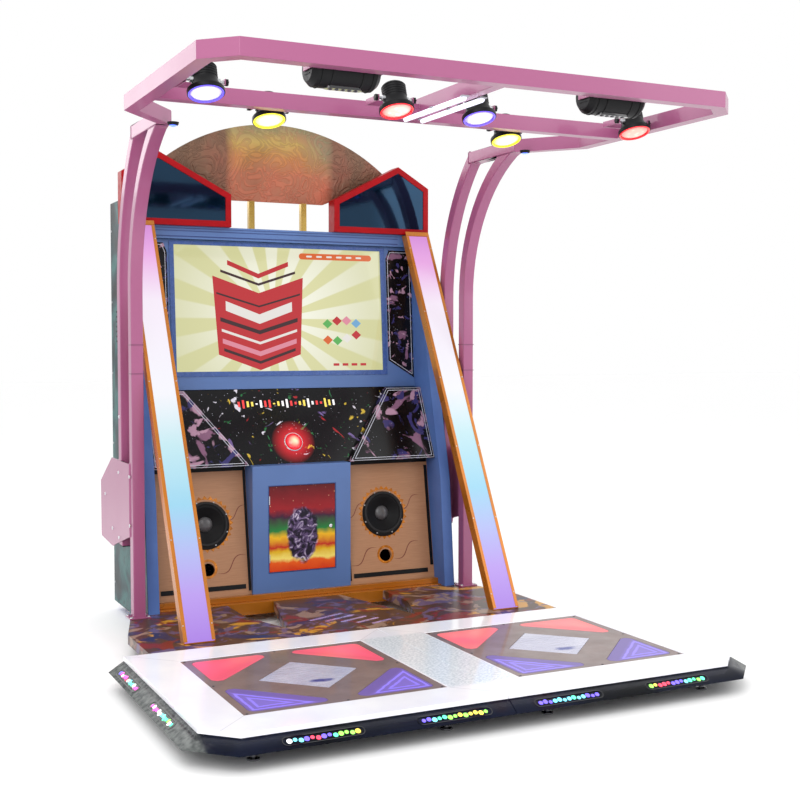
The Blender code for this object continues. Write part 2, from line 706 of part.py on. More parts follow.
def make_coin_box():
    """Cash cabinet in front of the speakers, its hinged door, and the cash box inside."""
    low, high = BASE_TOP + GAP, CONTROL_Z - 2 * GAP
    back = COIN_FRONT_D + COIN_DEPTH
    shell = box("coin_box", (-COIN_HALF_WIDTH, COIN_FRONT_D, low), (COIN_HALF_WIDTH, back, high))
    room = box(
        "coin_box_room", (BOARD - COIN_HALF_WIDTH, COIN_FRONT_D + BOARD, low + BOARD),
        (COIN_HALF_WIDTH - BOARD, back - BOARD, high - BOARD),
    )
    mouth = box(
        "coin_box_mouth", (-DOOR_HALF_WIDTH - DOOR_GAP, COIN_FRONT_D - BOARD, DOOR_BOTTOM - DOOR_GAP),
        (DOOR_HALF_WIDTH + DOOR_GAP, COIN_FRONT_D + 2 * BOARD, DOOR_TOP + DOOR_GAP),
    )
    finish(cut(shell, room, mouth), BLUE_LAMINATE)
    leaf = rectangle(0, DOOR_BOTTOM, 2 * DOOR_HALF_WIDTH, DOOR_TOP)
    door = plate("coin_door", [leaf], -DOOR_THICK, 0, FRONT_VIEW, (-DOOR_HALF_WIDTH, COIN_FRONT_D, 0))
    finish(door, PRINT)
    wide, floor = DOOR_HALF_WIDTH - CASH_BOX_CLEAR, low + BOARD + GAP
    near, far = COIN_FRONT_D + CASH_BOX_SETBACK, back - BOARD - CASH_BOX_CLEAR
    rim, wall = DOOR_BOTTOM + CASH_BOX_OVER, CASH_BOX_SHEET
    cash = box("cash_box", (-wide, near, floor), (wide, far, rim))
    inside = box(
        "cash_box_inside", (wall - wide, near + wall, floor + wall), (wide - wall, far - wall, rim + wall)
    )
    finish(cut(cash, inside), STEEL)


def make_controls():
    """Black control panel, the two boxes on it, and the start button."""
    turn = leaning(CONTROL_LEAN)
    place = (0, SPEAKER_FRONT_D + (CONTROL_BOX_DEPTH + BOARD) / math.cos(CONTROL_LEAN), CONTROL_Z)
    length = (SCREEN_Z - CONTROL_Z) / math.cos(CONTROL_LEAN)
    low_z, high_z = CONTROL_Z + GAP, SCREEN_Z - GAP
    button_hole = circle((0, BUTTON_UP), BUTTON_RADIUS * 0.7 + RUN, 24)
    outline = rectangle(-INSIDE, -OVERRUN, INSIDE, length + OVERRUN)
    panel = plate("control_panel", [outline, button_hole], 0, BOARD, turn, place)
    finish(level_ends(panel, low_z, high_z), BLACK_PAINT)
    low, high = BOARD + GAP, BOARD + CONTROL_BOX_DEPTH
    foot_up = -high * math.tan(CONTROL_LEAN)             # where a box's front face meets the panel's foot
    flare = (CONTROL_BOX_HEAD_X - CONTROL_BOX_FOOT_X) / length
    bottom, top = foot_up - OVERRUN, foot_up + length + OVERRUN
    foot_x, head_x = CONTROL_BOX_FOOT_X - flare * OVERRUN, CONTROL_BOX_HEAD_X + flare * OVERRUN
    for word, side in SIDE_WAYS:
        corners = mirrored([(foot_x, bottom), (INSIDE, bottom), (INSIDE, top), (head_x, top)], side)
        control_box = plate(f"control_box_{word}", [corners], low, high, turn, place)
        finish(level_ends(control_box, low_z, high_z), PRINT)
    make_start_button(turn, place)


def make_start_button(turn, place):
    """Domed button on a stem that slides in the control panel."""
    centre = Matrix.Translation(place) @ turn.to_matrix().to_4x4() @ Vector((0, BUTTON_UP, 0))
    face = BOARD + BUTTON_TRAVEL + GAP
    stem, edge, cap = BUTTON_RADIUS * 0.7, math.pi / 3, face + 0.006
    dome = [
        (BUTTON_RADIUS * math.sin(a), cap + BUTTON_DOME * (math.cos(a) - math.cos(edge)) * 2)
        for a in (edge * i / 5 for i in range(6))
    ]
    profile = [*dome, (dome[-1][0], face), (stem, face), (stem, face - BUTTON_STEM), (0, face - BUTTON_STEM)]
    finish(turned("start_button", profile, 32, turn, centre), RED_EDGE)


def make_screen():
    turn = leaning(SCREEN_LEAN)
    slope = 1 / math.cos(SCREEN_LEAN)
    foot_z, head_z = SCREEN_Z + GAP, CROWN_BOTTOM - GAP
    wedge = SURROUND_THICK * math.tan(SCREEN_LEAN)
    head = (head_z - foot_z) * slope - wedge
    picture = rectangle(-SCREEN_HALF_WIDTH, SCREEN_SILL, SCREEN_HALF_WIDTH, head - SCREEN_HEAD)
    outline = rectangle(-INSIDE, wedge, INSIDE, head)
    foot_d = SCREEN_FRONT_D + SURROUND_THICK * slope
    place = (0, foot_d, foot_z)
    finish(plate("screen_surround", [outline, picture], 0, SURROUND_THICK, turn, place), BLUE_LAMINATE)
    body = rectangle(
        -SCREEN_HALF_WIDTH - MONITOR_BEZEL, SCREEN_SILL - MONITOR_BEZEL,
        SCREEN_HALF_WIDTH + MONITOR_BEZEL, head - SCREEN_HEAD + MONITOR_BEZEL,
    )
    finish(plate("monitor", [body], -MONITOR_THICK, -GAP, turn, place), BLACK_PAINT)


def make_electronics():
    """Game computer and amplifier on the floor of the cabinet, behind the speakers."""
    floor, depths = BASE_TOP + GAP, (CABINET_BACK_D - UNIT_BACK[1], CABINET_BACK_D - UNIT_BACK[0])
    finish(side_box("computer_unit", -1, UNIT_X, depths, (floor, floor + COMPUTER_HEIGHT)), STEEL)
    finish(side_box("amplifier", 1, UNIT_X, depths, (floor, floor + AMPLIFIER_HEIGHT)), BLACK_PAINT)


# ---------------------------------------------------------------- signs
def make_signs():
    for word, side in SIDE_WAYS:
        foot_z = CROWN_TOP + GAP
        outline = mirrored([
            (SIGN_INNER_X, foot_z), (SIGN_OUTER_X, foot_z), (SIGN_OUTER_X, CROWN_TOP + SIGN_OUTER_Z),
            (SIGN_PEAK_X, CROWN_TOP + SIGN_PEAK_Z), (SIGN_INNER_X, CROWN_TOP + SIGN_INNER_Z),
        ], side)
        sign = plate(f"sign_box_{word}", [outline], -SIGN_DEPTH, 0, FRONT_VIEW, (0, SIGN_FRONT_D, 0))
        finish(sign, RED_EDGE)
    half, rise = DOME_HALF_WIDTH, DOME_TOP - DOME_TIP_Z
    radius = (half**2 + rise**2) / (2 * rise)
    sweep = math.degrees(math.asin(half / radius))
    top = arc((0, DOME_TOP - radius), radius, 90 - sweep, 90 + sweep, 24)
    corner_x, corner_z = DOME_FLAT + DOME_CORNER[0], DOME_BOTTOM + DOME_CORNER[1]
    foot = [(-corner_x, corner_z), (-DOME_FLAT, DOME_BOTTOM), (DOME_FLAT, DOME_BOTTOM), (corner_x, corner_z)]
    dome_d = SIGN_FRONT_D + SIGN_DEPTH + GAP
    finish(plate("dome_sign", [top + foot], -DOME_THICK, 0, FRONT_VIEW, (0, dome_d, 0)), BRONZE)
    make_sign_stand(dome_d + DOME_THICK / 2)


def make_sign_stand(middle_d):
    """Two posts on a strip that carry the dome sign."""
    half = POST_SIZE / 2
    near, far, floor = middle_d - half, middle_d + half, CROWN_TOP + GAP
    strip = box("sign_stand", (-POST_X - half, near, floor), (POST_X + half, far, CROWN_TOP + SHEET))
    for x in (-POST_X, POST_X):
        join(strip, box("sign_post", (x - half, near, floor), (x + half, far, DOME_BOTTOM - GAP)))
    finish(strip, BRASS)


# ---------------------------------------------------------------- light columns
def make_columns():
    """Leaning gold channels, each with a foot plate and a translucent front."""
    foot_z = BRIDGE_TOP + GAP
    body_z = foot_z + COLUMN_PLATE
    head_z = CROWN_TOP - COLUMN_LEVEL
    turn = leaning(COLUMN_LEAN)
    place = (0, column_rear_d(foot_z), foot_z)
    length = (head_z - foot_z) / math.cos(COLUMN_LEAN)
    for word, side in SIDE_WAYS:
        near, far = COLUMN_X - COLUMN_WIDTH / 2, COLUMN_X + COLUMN_WIDTH / 2
        name = f"light_column_{word}"
        outline = mirrored(rectangle(near, -OVERRUN, far, length + OVERRUN), side)
        channel = plate(name, [outline], 0, COLUMN_DEPTH, turn, place)
        wall, front_end, depth = COLUMN_WALL, length - COLUMN_CAP, COLUMN_DEPTH - DIFFUSER_DEPTH
        groove = mirrored(rectangle(near + wall, -2 * OVERRUN, far - wall, front_end), side)
        cut(channel, plate(name + "_groove", [groove], depth, COLUMN_DEPTH + BOARD, turn, place))
        level_ends(channel, body_z - GAP, head_z)
        plate_box = side_box(
            name + "_foot", side, (near, far),
            (column_front_d(body_z), column_rear_d(foot_z)), (foot_z, body_z),
        )
        finish(join(channel, plate_box), GOLD)
        front = mirrored(rectangle(near + wall + GAP, -OVERRUN, far - wall - GAP, front_end - GAP), side)
        diffuser = plate(f"diffuser_{word}", [front], depth + GAP, COLUMN_DEPTH, turn, place)
        finish(level_ends(diffuser, body_z + GAP, head_z), GLOW)


# ---------------------------------------------------------------- tube frames
def tube_outline(radius, bottom, end_angle):
    """A tube that rises straight and then bends forward in an arc, seen from the side."""
    centre = (ARC_CENTRE_D, ARC_CENTRE_Z)
    end = math.degrees(end_angle)
    outer = arc(centre, radius + TUBE / 2, 0, end, 14)
    inner = arc(centre, radius - TUBE / 2, end, 0, 14)
    straight = ARC_CENTRE_D + radius
    return [(straight - TUBE / 2, bottom), (straight + TUBE / 2, bottom), *outer, *inner]


def make_tube_frames():
    """Two bent tubes a side, welded to a hexagonal side plate, a top rail and spacers to the cabinet."""
    near, far = TUBE_X - TUBE / 2, TUBE_X + TUBE / 2
    rail_back = ARC_CENTRE_D + (REAR_ARC + TUBE / 2) * math.cos(REAR_TUBE_END) + RAIL_LIP
    for word, side in SIDE_WAYS:
        name = f"tube_frame_{word}"
        low, high = span(side, near, far)
        outline = tube_outline(FRONT_ARC, BRIDGE_TOP + GAP, FRONT_TUBE_END)
        front = plate(name, [outline], low, high, SIDE_VIEW)
        outline = tube_outline(REAR_ARC, REAR_TUBE_BOTTOM, REAR_TUBE_END)
        rear = plate(name + "_rear", [outline], low, high, SIDE_VIEW)
        rail = side_box(
            name + "_rail", side, (near - RAIL_PROUD, far + RAIL_PROUD),
            (CANOPY_REAR_D, rail_back),
            (CANOPY_BOTTOM + SHEET, CANOPY_TOP),
        )
        waist = HEX_BACK_D - (HEX_TOP - HEX_BOTTOM) * HEX_WAIST
        hexagon = [
            (HEX_FRONT_D, HEX_BOTTOM + HEX_FRONT_CUT), (waist, HEX_BOTTOM),
            (HEX_BACK_D, HEX_BOTTOM + HEX_REAR_CUTS[0]), (HEX_BACK_D, HEX_TOP - HEX_REAR_CUTS[1]),
            (waist, HEX_TOP), (HEX_FRONT_D, HEX_TOP),
        ]
        low, high = span(side, far - HEX_THICK / 2, far + HEX_THICK / 2)
        web = plate(name + "_hexagon", [hexagon], low, high, SIDE_VIEW)
        join(front, rear, rail, web)
        for z in (HEX_TOP - 2 * TUBE, UPPER_SPACER_Z):
            spacer = side_box(
                name + "_spacer", side, (SIDE_OUTSIDE + GAP, near + SHEET),
                (REAR_TUBE_D - TUBE / 3, REAR_TUBE_D + TUBE / 3), (z, z + TUBE),
            )
            join(front, spacer)
        finish(front, PINK_PAINT)


# ---------------------------------------------------------------- canopy
def half_canopy():
    """Outer edge of the right half of the canopy, front to rear."""
    half, front = CANOPY_HALF_WIDTH, CANOPY_FRONT_D
    tube = TUBE_X + TUBE / 2
    return [
        (half - CANOPY_CHAMFER, front), (half, front + CANOPY_CHAMFER), (half, SIDE_BAR_END_D),
        (tube, CANOPY_REAR_D - GAP), (tube - CANOPY_BAR, CANOPY_REAR_D - GAP),
    ]


def make_canopy():
    """Chamfered box-section ring with a cross bar, a spine, two rear legs and the lamps' arms."""
    bar = CANOPY_BAR
    inner_x = CANOPY_HALF_WIDTH - bar
    cross_back = CROSS_BAR_D + bar
    right = half_canopy() + [(inner_x, SIDE_BAR_END_D - bar / 3), (inner_x, cross_back)]
    outline = right + [(-x, d) for x, d in reversed(right)]
    front = CANOPY_FRONT_D + bar
    corner = CANOPY_CHAMFER - bar * (2 - math.sqrt(2))
    cell = [
        (SPINE_HALF_WIDTH, front), (inner_x - corner, front), (inner_x, front + corner),
        (inner_x, CROSS_BAR_D), (SPINE_HALF_WIDTH, CROSS_BAR_D),
    ]
    loops = [outline, cell, mirrored(cell, -1)]
    frame = plate("canopy_frame", loops, CANOPY_BOTTOM, CANOPY_TOP)
    for arm in lamp_arms():
        join(frame, arm)
    finish(frame, PINK_PAINT)


def lamp_seats():
    """Name, x and depth of each lamp's pivot."""
    seats = []
    for word, side in SIDE_WAYS:
        seats.append((f"lamp_outer_{word}", side * LAMP_OUTER_X, LAMP_FRONT_D))
        seats.append((f"lamp_middle_{word}", side * LAMP_MIDDLE_X, CROSS_BAR_D + CANOPY_BAR + LAMP_REACH))
        seats.append((f"lamp_inner_{word}", side * LAMP_INNER_X, LAMP_FRONT_D))
    return seats


def cheek(x, way, d, z):
    """One thin upright plate beside a lamp."""
    low, high = sorted((x, x + way * CHEEK))
    return box("cheek", (low, d[0], z[0]), (high, d[1], z[1]))


def lamp_arms():
    """Two cheeks for each lamp and, where no bar is behind it, a strap that carries them."""
    arms = []
    reach = LAMP_RIM_RADIUS + 2 * RUN
    heights = PIVOT_Z - CHEEK_HEIGHT / 2, PIVOT_Z + CHEEK_HEIGHT / 2
    for _, x, d in lamp_seats():
        behind_bar = d > CROSS_BAR_D
        if behind_bar:
            depths = CROSS_BAR_D + CANOPY_BAR - ARM_BITE, d + CHEEK_HEIGHT / 2
        else:
            depths = d - CHEEK_HEIGHT / 2, d + LAMP_REACH + CHEEK
        for way in (-1, 1):
            arms.append(cheek(x + way * reach, way, depths, heights))
        if behind_bar:
            continue
        side, outer = math.copysign(1, x), abs(x) > LAMP_MIDDLE_X
        near = abs(x) - reach - CHEEK if outer else SPINE_HALF_WIDTH - ARM_BITE
        far = CANOPY_HALF_WIDTH - CANOPY_BAR + ARM_BITE if outer else abs(x) + reach + CHEEK
        strap_d = d + LAMP_REACH
        arms.append(side_box("strap", side, (near, far), (strap_d, strap_d + 2 * CHEEK), heights))
    depths = CANOPY_FRONT_D + CANOPY_BAR - ARM_BITE, EFFECT_D + CHEEK_HEIGHT
    for side in (-1, 1):
        for way in (-1, 1):
            arms.append(cheek(side * EFFECT_X + way * (EFFECT_LENGTH / 2 + 2 * RUN), way, depths, heights))
    return arms


def make_lamps():
    """Tilting spotlights: a can with a wider front rim, aimed forward and down."""
    lens, back, step = -LAMP_PIVOT, LAMP_LENGTH - LAMP_PIVOT, LAMP_RIM_LENGTH - LAMP_PIVOT
    profile = [
        (0, back), (LAMP_CAN_RADIUS * 0.6, back), (LAMP_CAN_RADIUS, back - LAMP_LENGTH * 0.1),
        (LAMP_CAN_RADIUS, step), (LAMP_RIM_RADIUS, step), (LAMP_RIM_RADIUS, lens), (0, lens),
    ]
    for name, x, d in lamp_seats():
        finish(turned(name, profile, 24, Euler((-LAMP_AIM, 0, 0)), (x, d, PIVOT_Z)), BLACK_PAINT)
    half, waist = EFFECT_LENGTH / 2, EFFECT_RADIUS * 0.75
    shoulder = half - EFFECT_SHOULDER
    upper = [(0, half), (waist, half), (EFFECT_RADIUS, shoulder)]
    drum = upper + [(radius, -height) for radius, height in reversed(upper)]
    for word, side in SIDE_WAYS:
        along_x = Euler((0, math.radians(90), 0))
        unit = turned(f"effect_light_{word}", drum, 24, along_x, (side * EFFECT_X, EFFECT_D, PIVOT_Z))
        finish(unit, BLACK_PAINT)


# ---------------------------------------------------------------- the machine
clear_scene()
parts = new_collection("dance_rhythm_machine")
helpers = new_collection("helpers")
origin = bpy.data.objects.new("machine_origin", None)
parts.objects.link(origin)
origin.location = (0, SHIFT_Y, 0)

for side_word, side_sign in SIDE_WAYS:
    make_deck(side_word, side_sign)
    make_platform_base(side_word, side_sign)
    make_pad(side_word, side_sign)
make_bridge()
make_sides()
make_base()
make_back()
make_crown()
make_speakers()
make_coin_box()
make_controls()
make_screen()
make_electronics()
make_signs()
make_columns()
make_tube_frames()
make_canopy()
make_lamps()
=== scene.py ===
"""Looks of the two-player dance rhythm machine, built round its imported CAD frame.

Metres, +Z up, players at -Y. Every piece is made in place, in the frame's own axes, and rides on one body.
"""

import json
import math

import bmesh
import bpy
from mathutils import Matrix, Vector

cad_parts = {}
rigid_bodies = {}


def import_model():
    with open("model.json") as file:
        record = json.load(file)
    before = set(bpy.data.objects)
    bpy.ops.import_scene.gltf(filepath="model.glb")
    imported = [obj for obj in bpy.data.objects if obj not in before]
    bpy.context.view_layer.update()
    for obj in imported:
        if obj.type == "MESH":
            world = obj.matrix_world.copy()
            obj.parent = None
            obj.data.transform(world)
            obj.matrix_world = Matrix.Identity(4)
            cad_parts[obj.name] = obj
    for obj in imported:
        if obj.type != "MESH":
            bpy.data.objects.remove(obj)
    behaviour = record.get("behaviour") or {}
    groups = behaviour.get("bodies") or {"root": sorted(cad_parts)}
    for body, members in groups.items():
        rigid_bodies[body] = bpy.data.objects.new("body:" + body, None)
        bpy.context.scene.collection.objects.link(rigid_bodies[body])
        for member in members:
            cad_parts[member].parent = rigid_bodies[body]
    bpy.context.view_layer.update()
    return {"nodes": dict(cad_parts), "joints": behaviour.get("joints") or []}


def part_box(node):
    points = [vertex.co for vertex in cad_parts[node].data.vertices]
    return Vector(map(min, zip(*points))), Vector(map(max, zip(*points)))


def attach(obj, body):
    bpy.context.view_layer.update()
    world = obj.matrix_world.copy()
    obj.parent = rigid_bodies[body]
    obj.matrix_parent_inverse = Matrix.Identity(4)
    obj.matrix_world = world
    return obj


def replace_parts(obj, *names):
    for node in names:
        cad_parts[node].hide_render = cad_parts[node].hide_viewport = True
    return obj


for leftover in list(bpy.data.objects):
    bpy.data.objects.remove(leftover, do_unlink=True)
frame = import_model()

MACHINE = "machine"
SIDES = (("left", -1), ("right", 1))
HERE = Matrix.Identity(4)
RIGHT, AHEAD, UP = Vector((1, 0, 0)), Vector((0, 1, 0)), Vector((0, 0, 1))
PRINT = 0.0004               # thickness of a printed film
SIT = 0.0002                 # gap under a piece that lies on another


# ---------------------------------------------------------------- materials
def rgb(red, green, blue):
    """A display colour, 0 to 255, as the linear one that shaders take."""
    shares = (c / 255 for c in (red, green, blue))
    return tuple(c / 12.92 if c <= 10 / 255 else ((c + 0.055) / 1.055) ** 2.4 for c in shares)


class Look:
    """A material, with short ways to wire its nodes. Colours are linear; places are in the frame's metres."""

    def __init__(self, name, colour, roughness, metallic=0.0, **sockets):
        self.material = bpy.data.materials.new(name)
        self.material.use_nodes = True
        self.nodes = self.material.node_tree.nodes
        self.links = self.material.node_tree.links
        self.shader = self.nodes["Principled BSDF"]
        self.place = self.node("TexCoord", output="Object")
        self.give(base_color=colour, roughness=roughness, metallic=metallic, **sockets)

    def feed(self, socket, value):
        if isinstance(value, bpy.types.NodeSocket):
            self.links.new(value, socket)
        elif socket.type == "RGBA" and len(value) == 3:
            socket.default_value = (*value, 1)
        else:
            socket.default_value = value

    def give(self, **sockets):
        """Sets the shader's sockets by name: base_color, roughness, coat_weight and so on."""
        for key, value in sockets.items():
            words = (word.upper() if word == "ior" else word.capitalize() for word in key.split("_"))
            name = " ".join(words)
            self.feed(self.shader.inputs[name], value)
        return self

    def node(self, kind, values=None, output=0, **settings):
        made = self.nodes.new("ShaderNode" + kind)
        for key, value in settings.items():
            setattr(made, key, value)
        for key, value in (values or {}).items():
            self.feed(made.inputs[key], value)
        return made.outputs[output]

    def calc(self, operation, *values):
        return self.node("Math", dict(enumerate(values)), operation=operation)

    def plus(self, first, second):
        return self.calc("ADD", first, second)

    def minus(self, first, second):
        return self.calc("SUBTRACT", first, second)

    def times(self, first, second):
        return self.calc("MULTIPLY", first, second)

    def over(self, first, second):
        return self.calc("DIVIDE", first, second)

    def size(self, value):
        return self.calc("ABSOLUTE", value)

    def gap(self, first, second):
        return self.size(self.minus(first, second))

    def share(self, value, low, high):
        """How far a value is from low to high, as 0 to 1."""
        return self.over(self.minus(value, low), high - low)

    def hypot(self, across, along):
        squares = [self.calc("POWER", leg, 2) for leg in (across, along)]
        return self.calc("SQRT", self.plus(*squares))

    def wander(self, value, texture, reach):
        """A value moved to and fro by a texture."""
        return self.plus(value, self.times(self.minus(texture, 0.5), reach))

    def blend(self, factor, first, second):
        return self.node("Mix", {0: factor, 6: first, 7: second}, output=2, data_type="RGBA")

    def ramp(self, value, *stops):
        """Colours or greys by value: each stop is (position, colour or grey)."""
        output = self.node("ValToRGB", {0: value})
        elements = output.node.color_ramp.elements
        for index, (position, colour) in enumerate(stops):
            element = elements[index] if index < 2 else elements.new(position)
            element.position = position
            element.color = (*colour, 1) if isinstance(colour, tuple) else (colour, colour, colour, 1)
        return output

    def noise(self, scale, detail=3, distortion=0.0, where=None):
        values = {"Vector": where or self.place, "Scale": scale, "Detail": detail, "Distortion": distortion}
        return self.node("TexNoise", values)

    def cells(self, scale):
        return self.node("TexVoronoi", {"Vector": self.place, "Scale": scale}, output="Distance")

    def mottled(self, scale, detail, dark, pale, reach=0.15):
        """Soft patches of two colours."""
        return self.ramp(self.noise(scale, detail), (0.5 - reach, dark), (0.5 + reach, pale))

    def dots(self, scale, radius):
        """White dots, one in the middle of each cell."""
        return self.ramp(self.cells(scale), (0.0, 1.0), (radius, 0.0))

    def stretched(self, *scale):
        return self.node("Mapping", {"Vector": self.place, "Scale": scale})

    def axes(self):
        split = self.node("SeparateXYZ", {0: self.place}).node
        return split.outputs["X"], split.outputs["Y"], split.outputs["Z"]

    def distance(self, point):
        return self.node("VectorMath", {0: self.place, 1: point}, output="Value", operation="DISTANCE")

    def bump(self, height, depth, strength=1.0):
        normal = self.node("Bump", {"Height": height, "Distance": depth, "Strength": strength})
        return self.give(normal=normal)

    def worn(self, colour, roughness, spread=0.08, scale=9.0, shade=0.85):
        """Uneven gloss and a slightly uneven colour, as handled surfaces have."""
        patches = self.noise(scale, 5)
        low, high = max(roughness - spread, 0.02), roughness + spread
        self.give(roughness=self.ramp(patches, (0.3, low), (0.7, high)))
        darker = tuple(c * shade for c in colour)
        return self.give(base_color=self.mottled(scale * 0.6, 6, darker, colour))


def paint(name, colour, roughness=0.28, metallic=0.15):
    """Sprayed gloss paint with a faint orange peel."""
    look = Look(name, colour, roughness, metallic, coat_weight=0.35, coat_roughness=0.10)
    look.worn(colour, roughness, spread=0.03, scale=2, shade=0.97)
    return look.bump(look.noise(420, 2), 0.00006)


def laminate(name, colour, roughness=0.32, print_scale=900.0):
    """Decorative laminate: a fine pebble and a soft sheen."""
    look = Look(name, colour, roughness, specular_ior_level=0.45)
    look.worn(colour, roughness, spread=0.06, scale=5, shade=0.90)
    return look.bump(look.noise(print_scale, 2), 0.00008)


def mirror_sheet(name, colour, roughness=0.16, metallic=0.85, scale=4.0):
    """Polished coloured metal sheet with soft smears."""
    look = Look(name, colour, roughness, metallic, coat_weight=0.3, coat_roughness=0.05)
    look.worn(colour, roughness, spread=0.07, scale=scale, shade=0.80)
    return look.bump(look.noise(60, 2), 0.00005)


def plastic(name, colour, roughness=0.45, grain=700.0, **sockets):
    """Moulded plastic with a fine spark-eroded grain."""
    look = Look(name, colour, roughness, **sockets)
    look.worn(colour, roughness, spread=0.07, scale=30)
    return look.bump(look.noise(grain, 2), 0.00010)


def steel(name, colour=(0.55, 0.56, 0.58), roughness=0.30):
    """Brushed or plated steel, streaked along X."""
    look = Look(name, colour, roughness, 0.95)
    stretched = look.stretched(12, 500, 500)
    streaks = look.noise(1.0, 3, where=stretched)
    look.give(roughness=look.ramp(streaks, (0.3, roughness - 0.08), (0.7, roughness + 0.10)))
    return look.bump(streaks, 0.00005)


def glowing(name, colour, strength, roughness=0.25):
    """A lit lens or lamp: brighter in its fine cells, as a row of diodes behind a diffuser is."""
    look = Look(name, colour, roughness, emission_color=colour, coat_weight=0.5)
    spots = look.cells(140)
    look.give(emission_strength=look.ramp(spots, (0.0, strength), (0.9, strength * 0.55)))
    return look


def film_print(name, ground, inks, scale, cover=0.5, stars=0.0, roughness=0.22):
    """A glossy abstract print: warped patches of ink on a ground, with a scatter of pale stars."""
    look = Look(name, ground, roughness, specular_ior_level=0.25)
    colour = ground
    for index, ink in enumerate(inks):
        away = (1.7 * index, 0.9 * index, 2.3 * index)
        shifted = look.node("Mapping", {"Vector": look.place, "Location": away})
        patch = look.noise(scale * (1 + 0.35 * index), 4, distortion=1.6, where=shifted)
        colour = look.blend(look.ramp(patch, (cover, 0.0), (cover + 0.035, 1.0)), colour, ink)
    if stars:
        kept = look.ramp(look.noise(stars * 0.35, 1), (0.50, 0.0), (0.56, 1.0))
        colour = look.blend(look.times(look.dots(stars, 0.13), kept), colour, (0.80, 0.82, 0.95))
    look.give(base_color=colour)
    return look.bump(look.noise(500, 2), 0.00004)


# ---------------------------------------------------------------- shapes
def smoothing_group():
    """Geometry nodes that shade faces smooth and keep edges sharp above an angle."""
    group = bpy.data.node_groups.new("smooth_by_angle", "GeometryNodeTree")
    for way in ("INPUT", "OUTPUT"):
        group.interface.new_socket("Geometry", in_out=way, socket_type="NodeSocketGeometry")
    source, result = group.nodes.new("NodeGroupInput"), group.nodes.new("NodeGroupOutput")
    faces = group.nodes.new("GeometryNodeSetShadeSmooth")
    edges = group.nodes.new("GeometryNodeSetShadeSmooth")
    edges.domain = "EDGE"
    angle = group.nodes.new("GeometryNodeInputMeshEdgeAngle")
    gentle = group.nodes.new("FunctionNodeCompare")
    gentle.operation = "LESS_EQUAL"
    gentle.inputs["B"].default_value = math.radians(36)
    group.links.new(angle.outputs["Unsigned Angle"], gentle.inputs["A"])
    group.links.new(gentle.outputs["Result"], edges.inputs["Shade Smooth"])
    group.links.new(source.outputs[0], faces.inputs["Geometry"])
    group.links.new(faces.outputs[0], edges.inputs["Geometry"])
    group.links.new(edges.outputs[0], result.inputs[0])
    return group


SMOOTH = smoothing_group()


def dress(obj, bevel=0.0):
    """Rounds an object's edges and shades it, without touching its mesh."""
    obj.modifiers.new("weld", "WELD").merge_threshold = 1e-5
    flat = obj.modifiers.new("flat", "DECIMATE")
    flat.decimate_type = "DISSOLVE"
    flat.angle_limit = math.radians(0.8)
    if bevel:
        edge = obj.modifiers.new("edge", "BEVEL")
        edge.width = bevel
        edge.segments = 2
        edge.limit_method = "ANGLE"
        edge.angle_limit = math.radians(38)
        edge.use_clamp_overlap = False
    obj.modifiers.new("smooth", "NODES").node_group = SMOOTH
    obj.modifiers.new("normals", "WEIGHTED_NORMAL").keep_sharp = True


def pair(stem):
    """The left and the right node of a mirrored piece."""
    return [f"{stem}_{word}" for word, _ in SIDES]


def cad(nodes, look, bevel=0.0015):
    """Gives CAD nodes their material and their rounded edges."""
    for name in nodes:
        obj = frame["nodes"][name]
        obj.data.materials.clear()
        obj.data.materials.append(look.material)
        dress(obj, bevel)


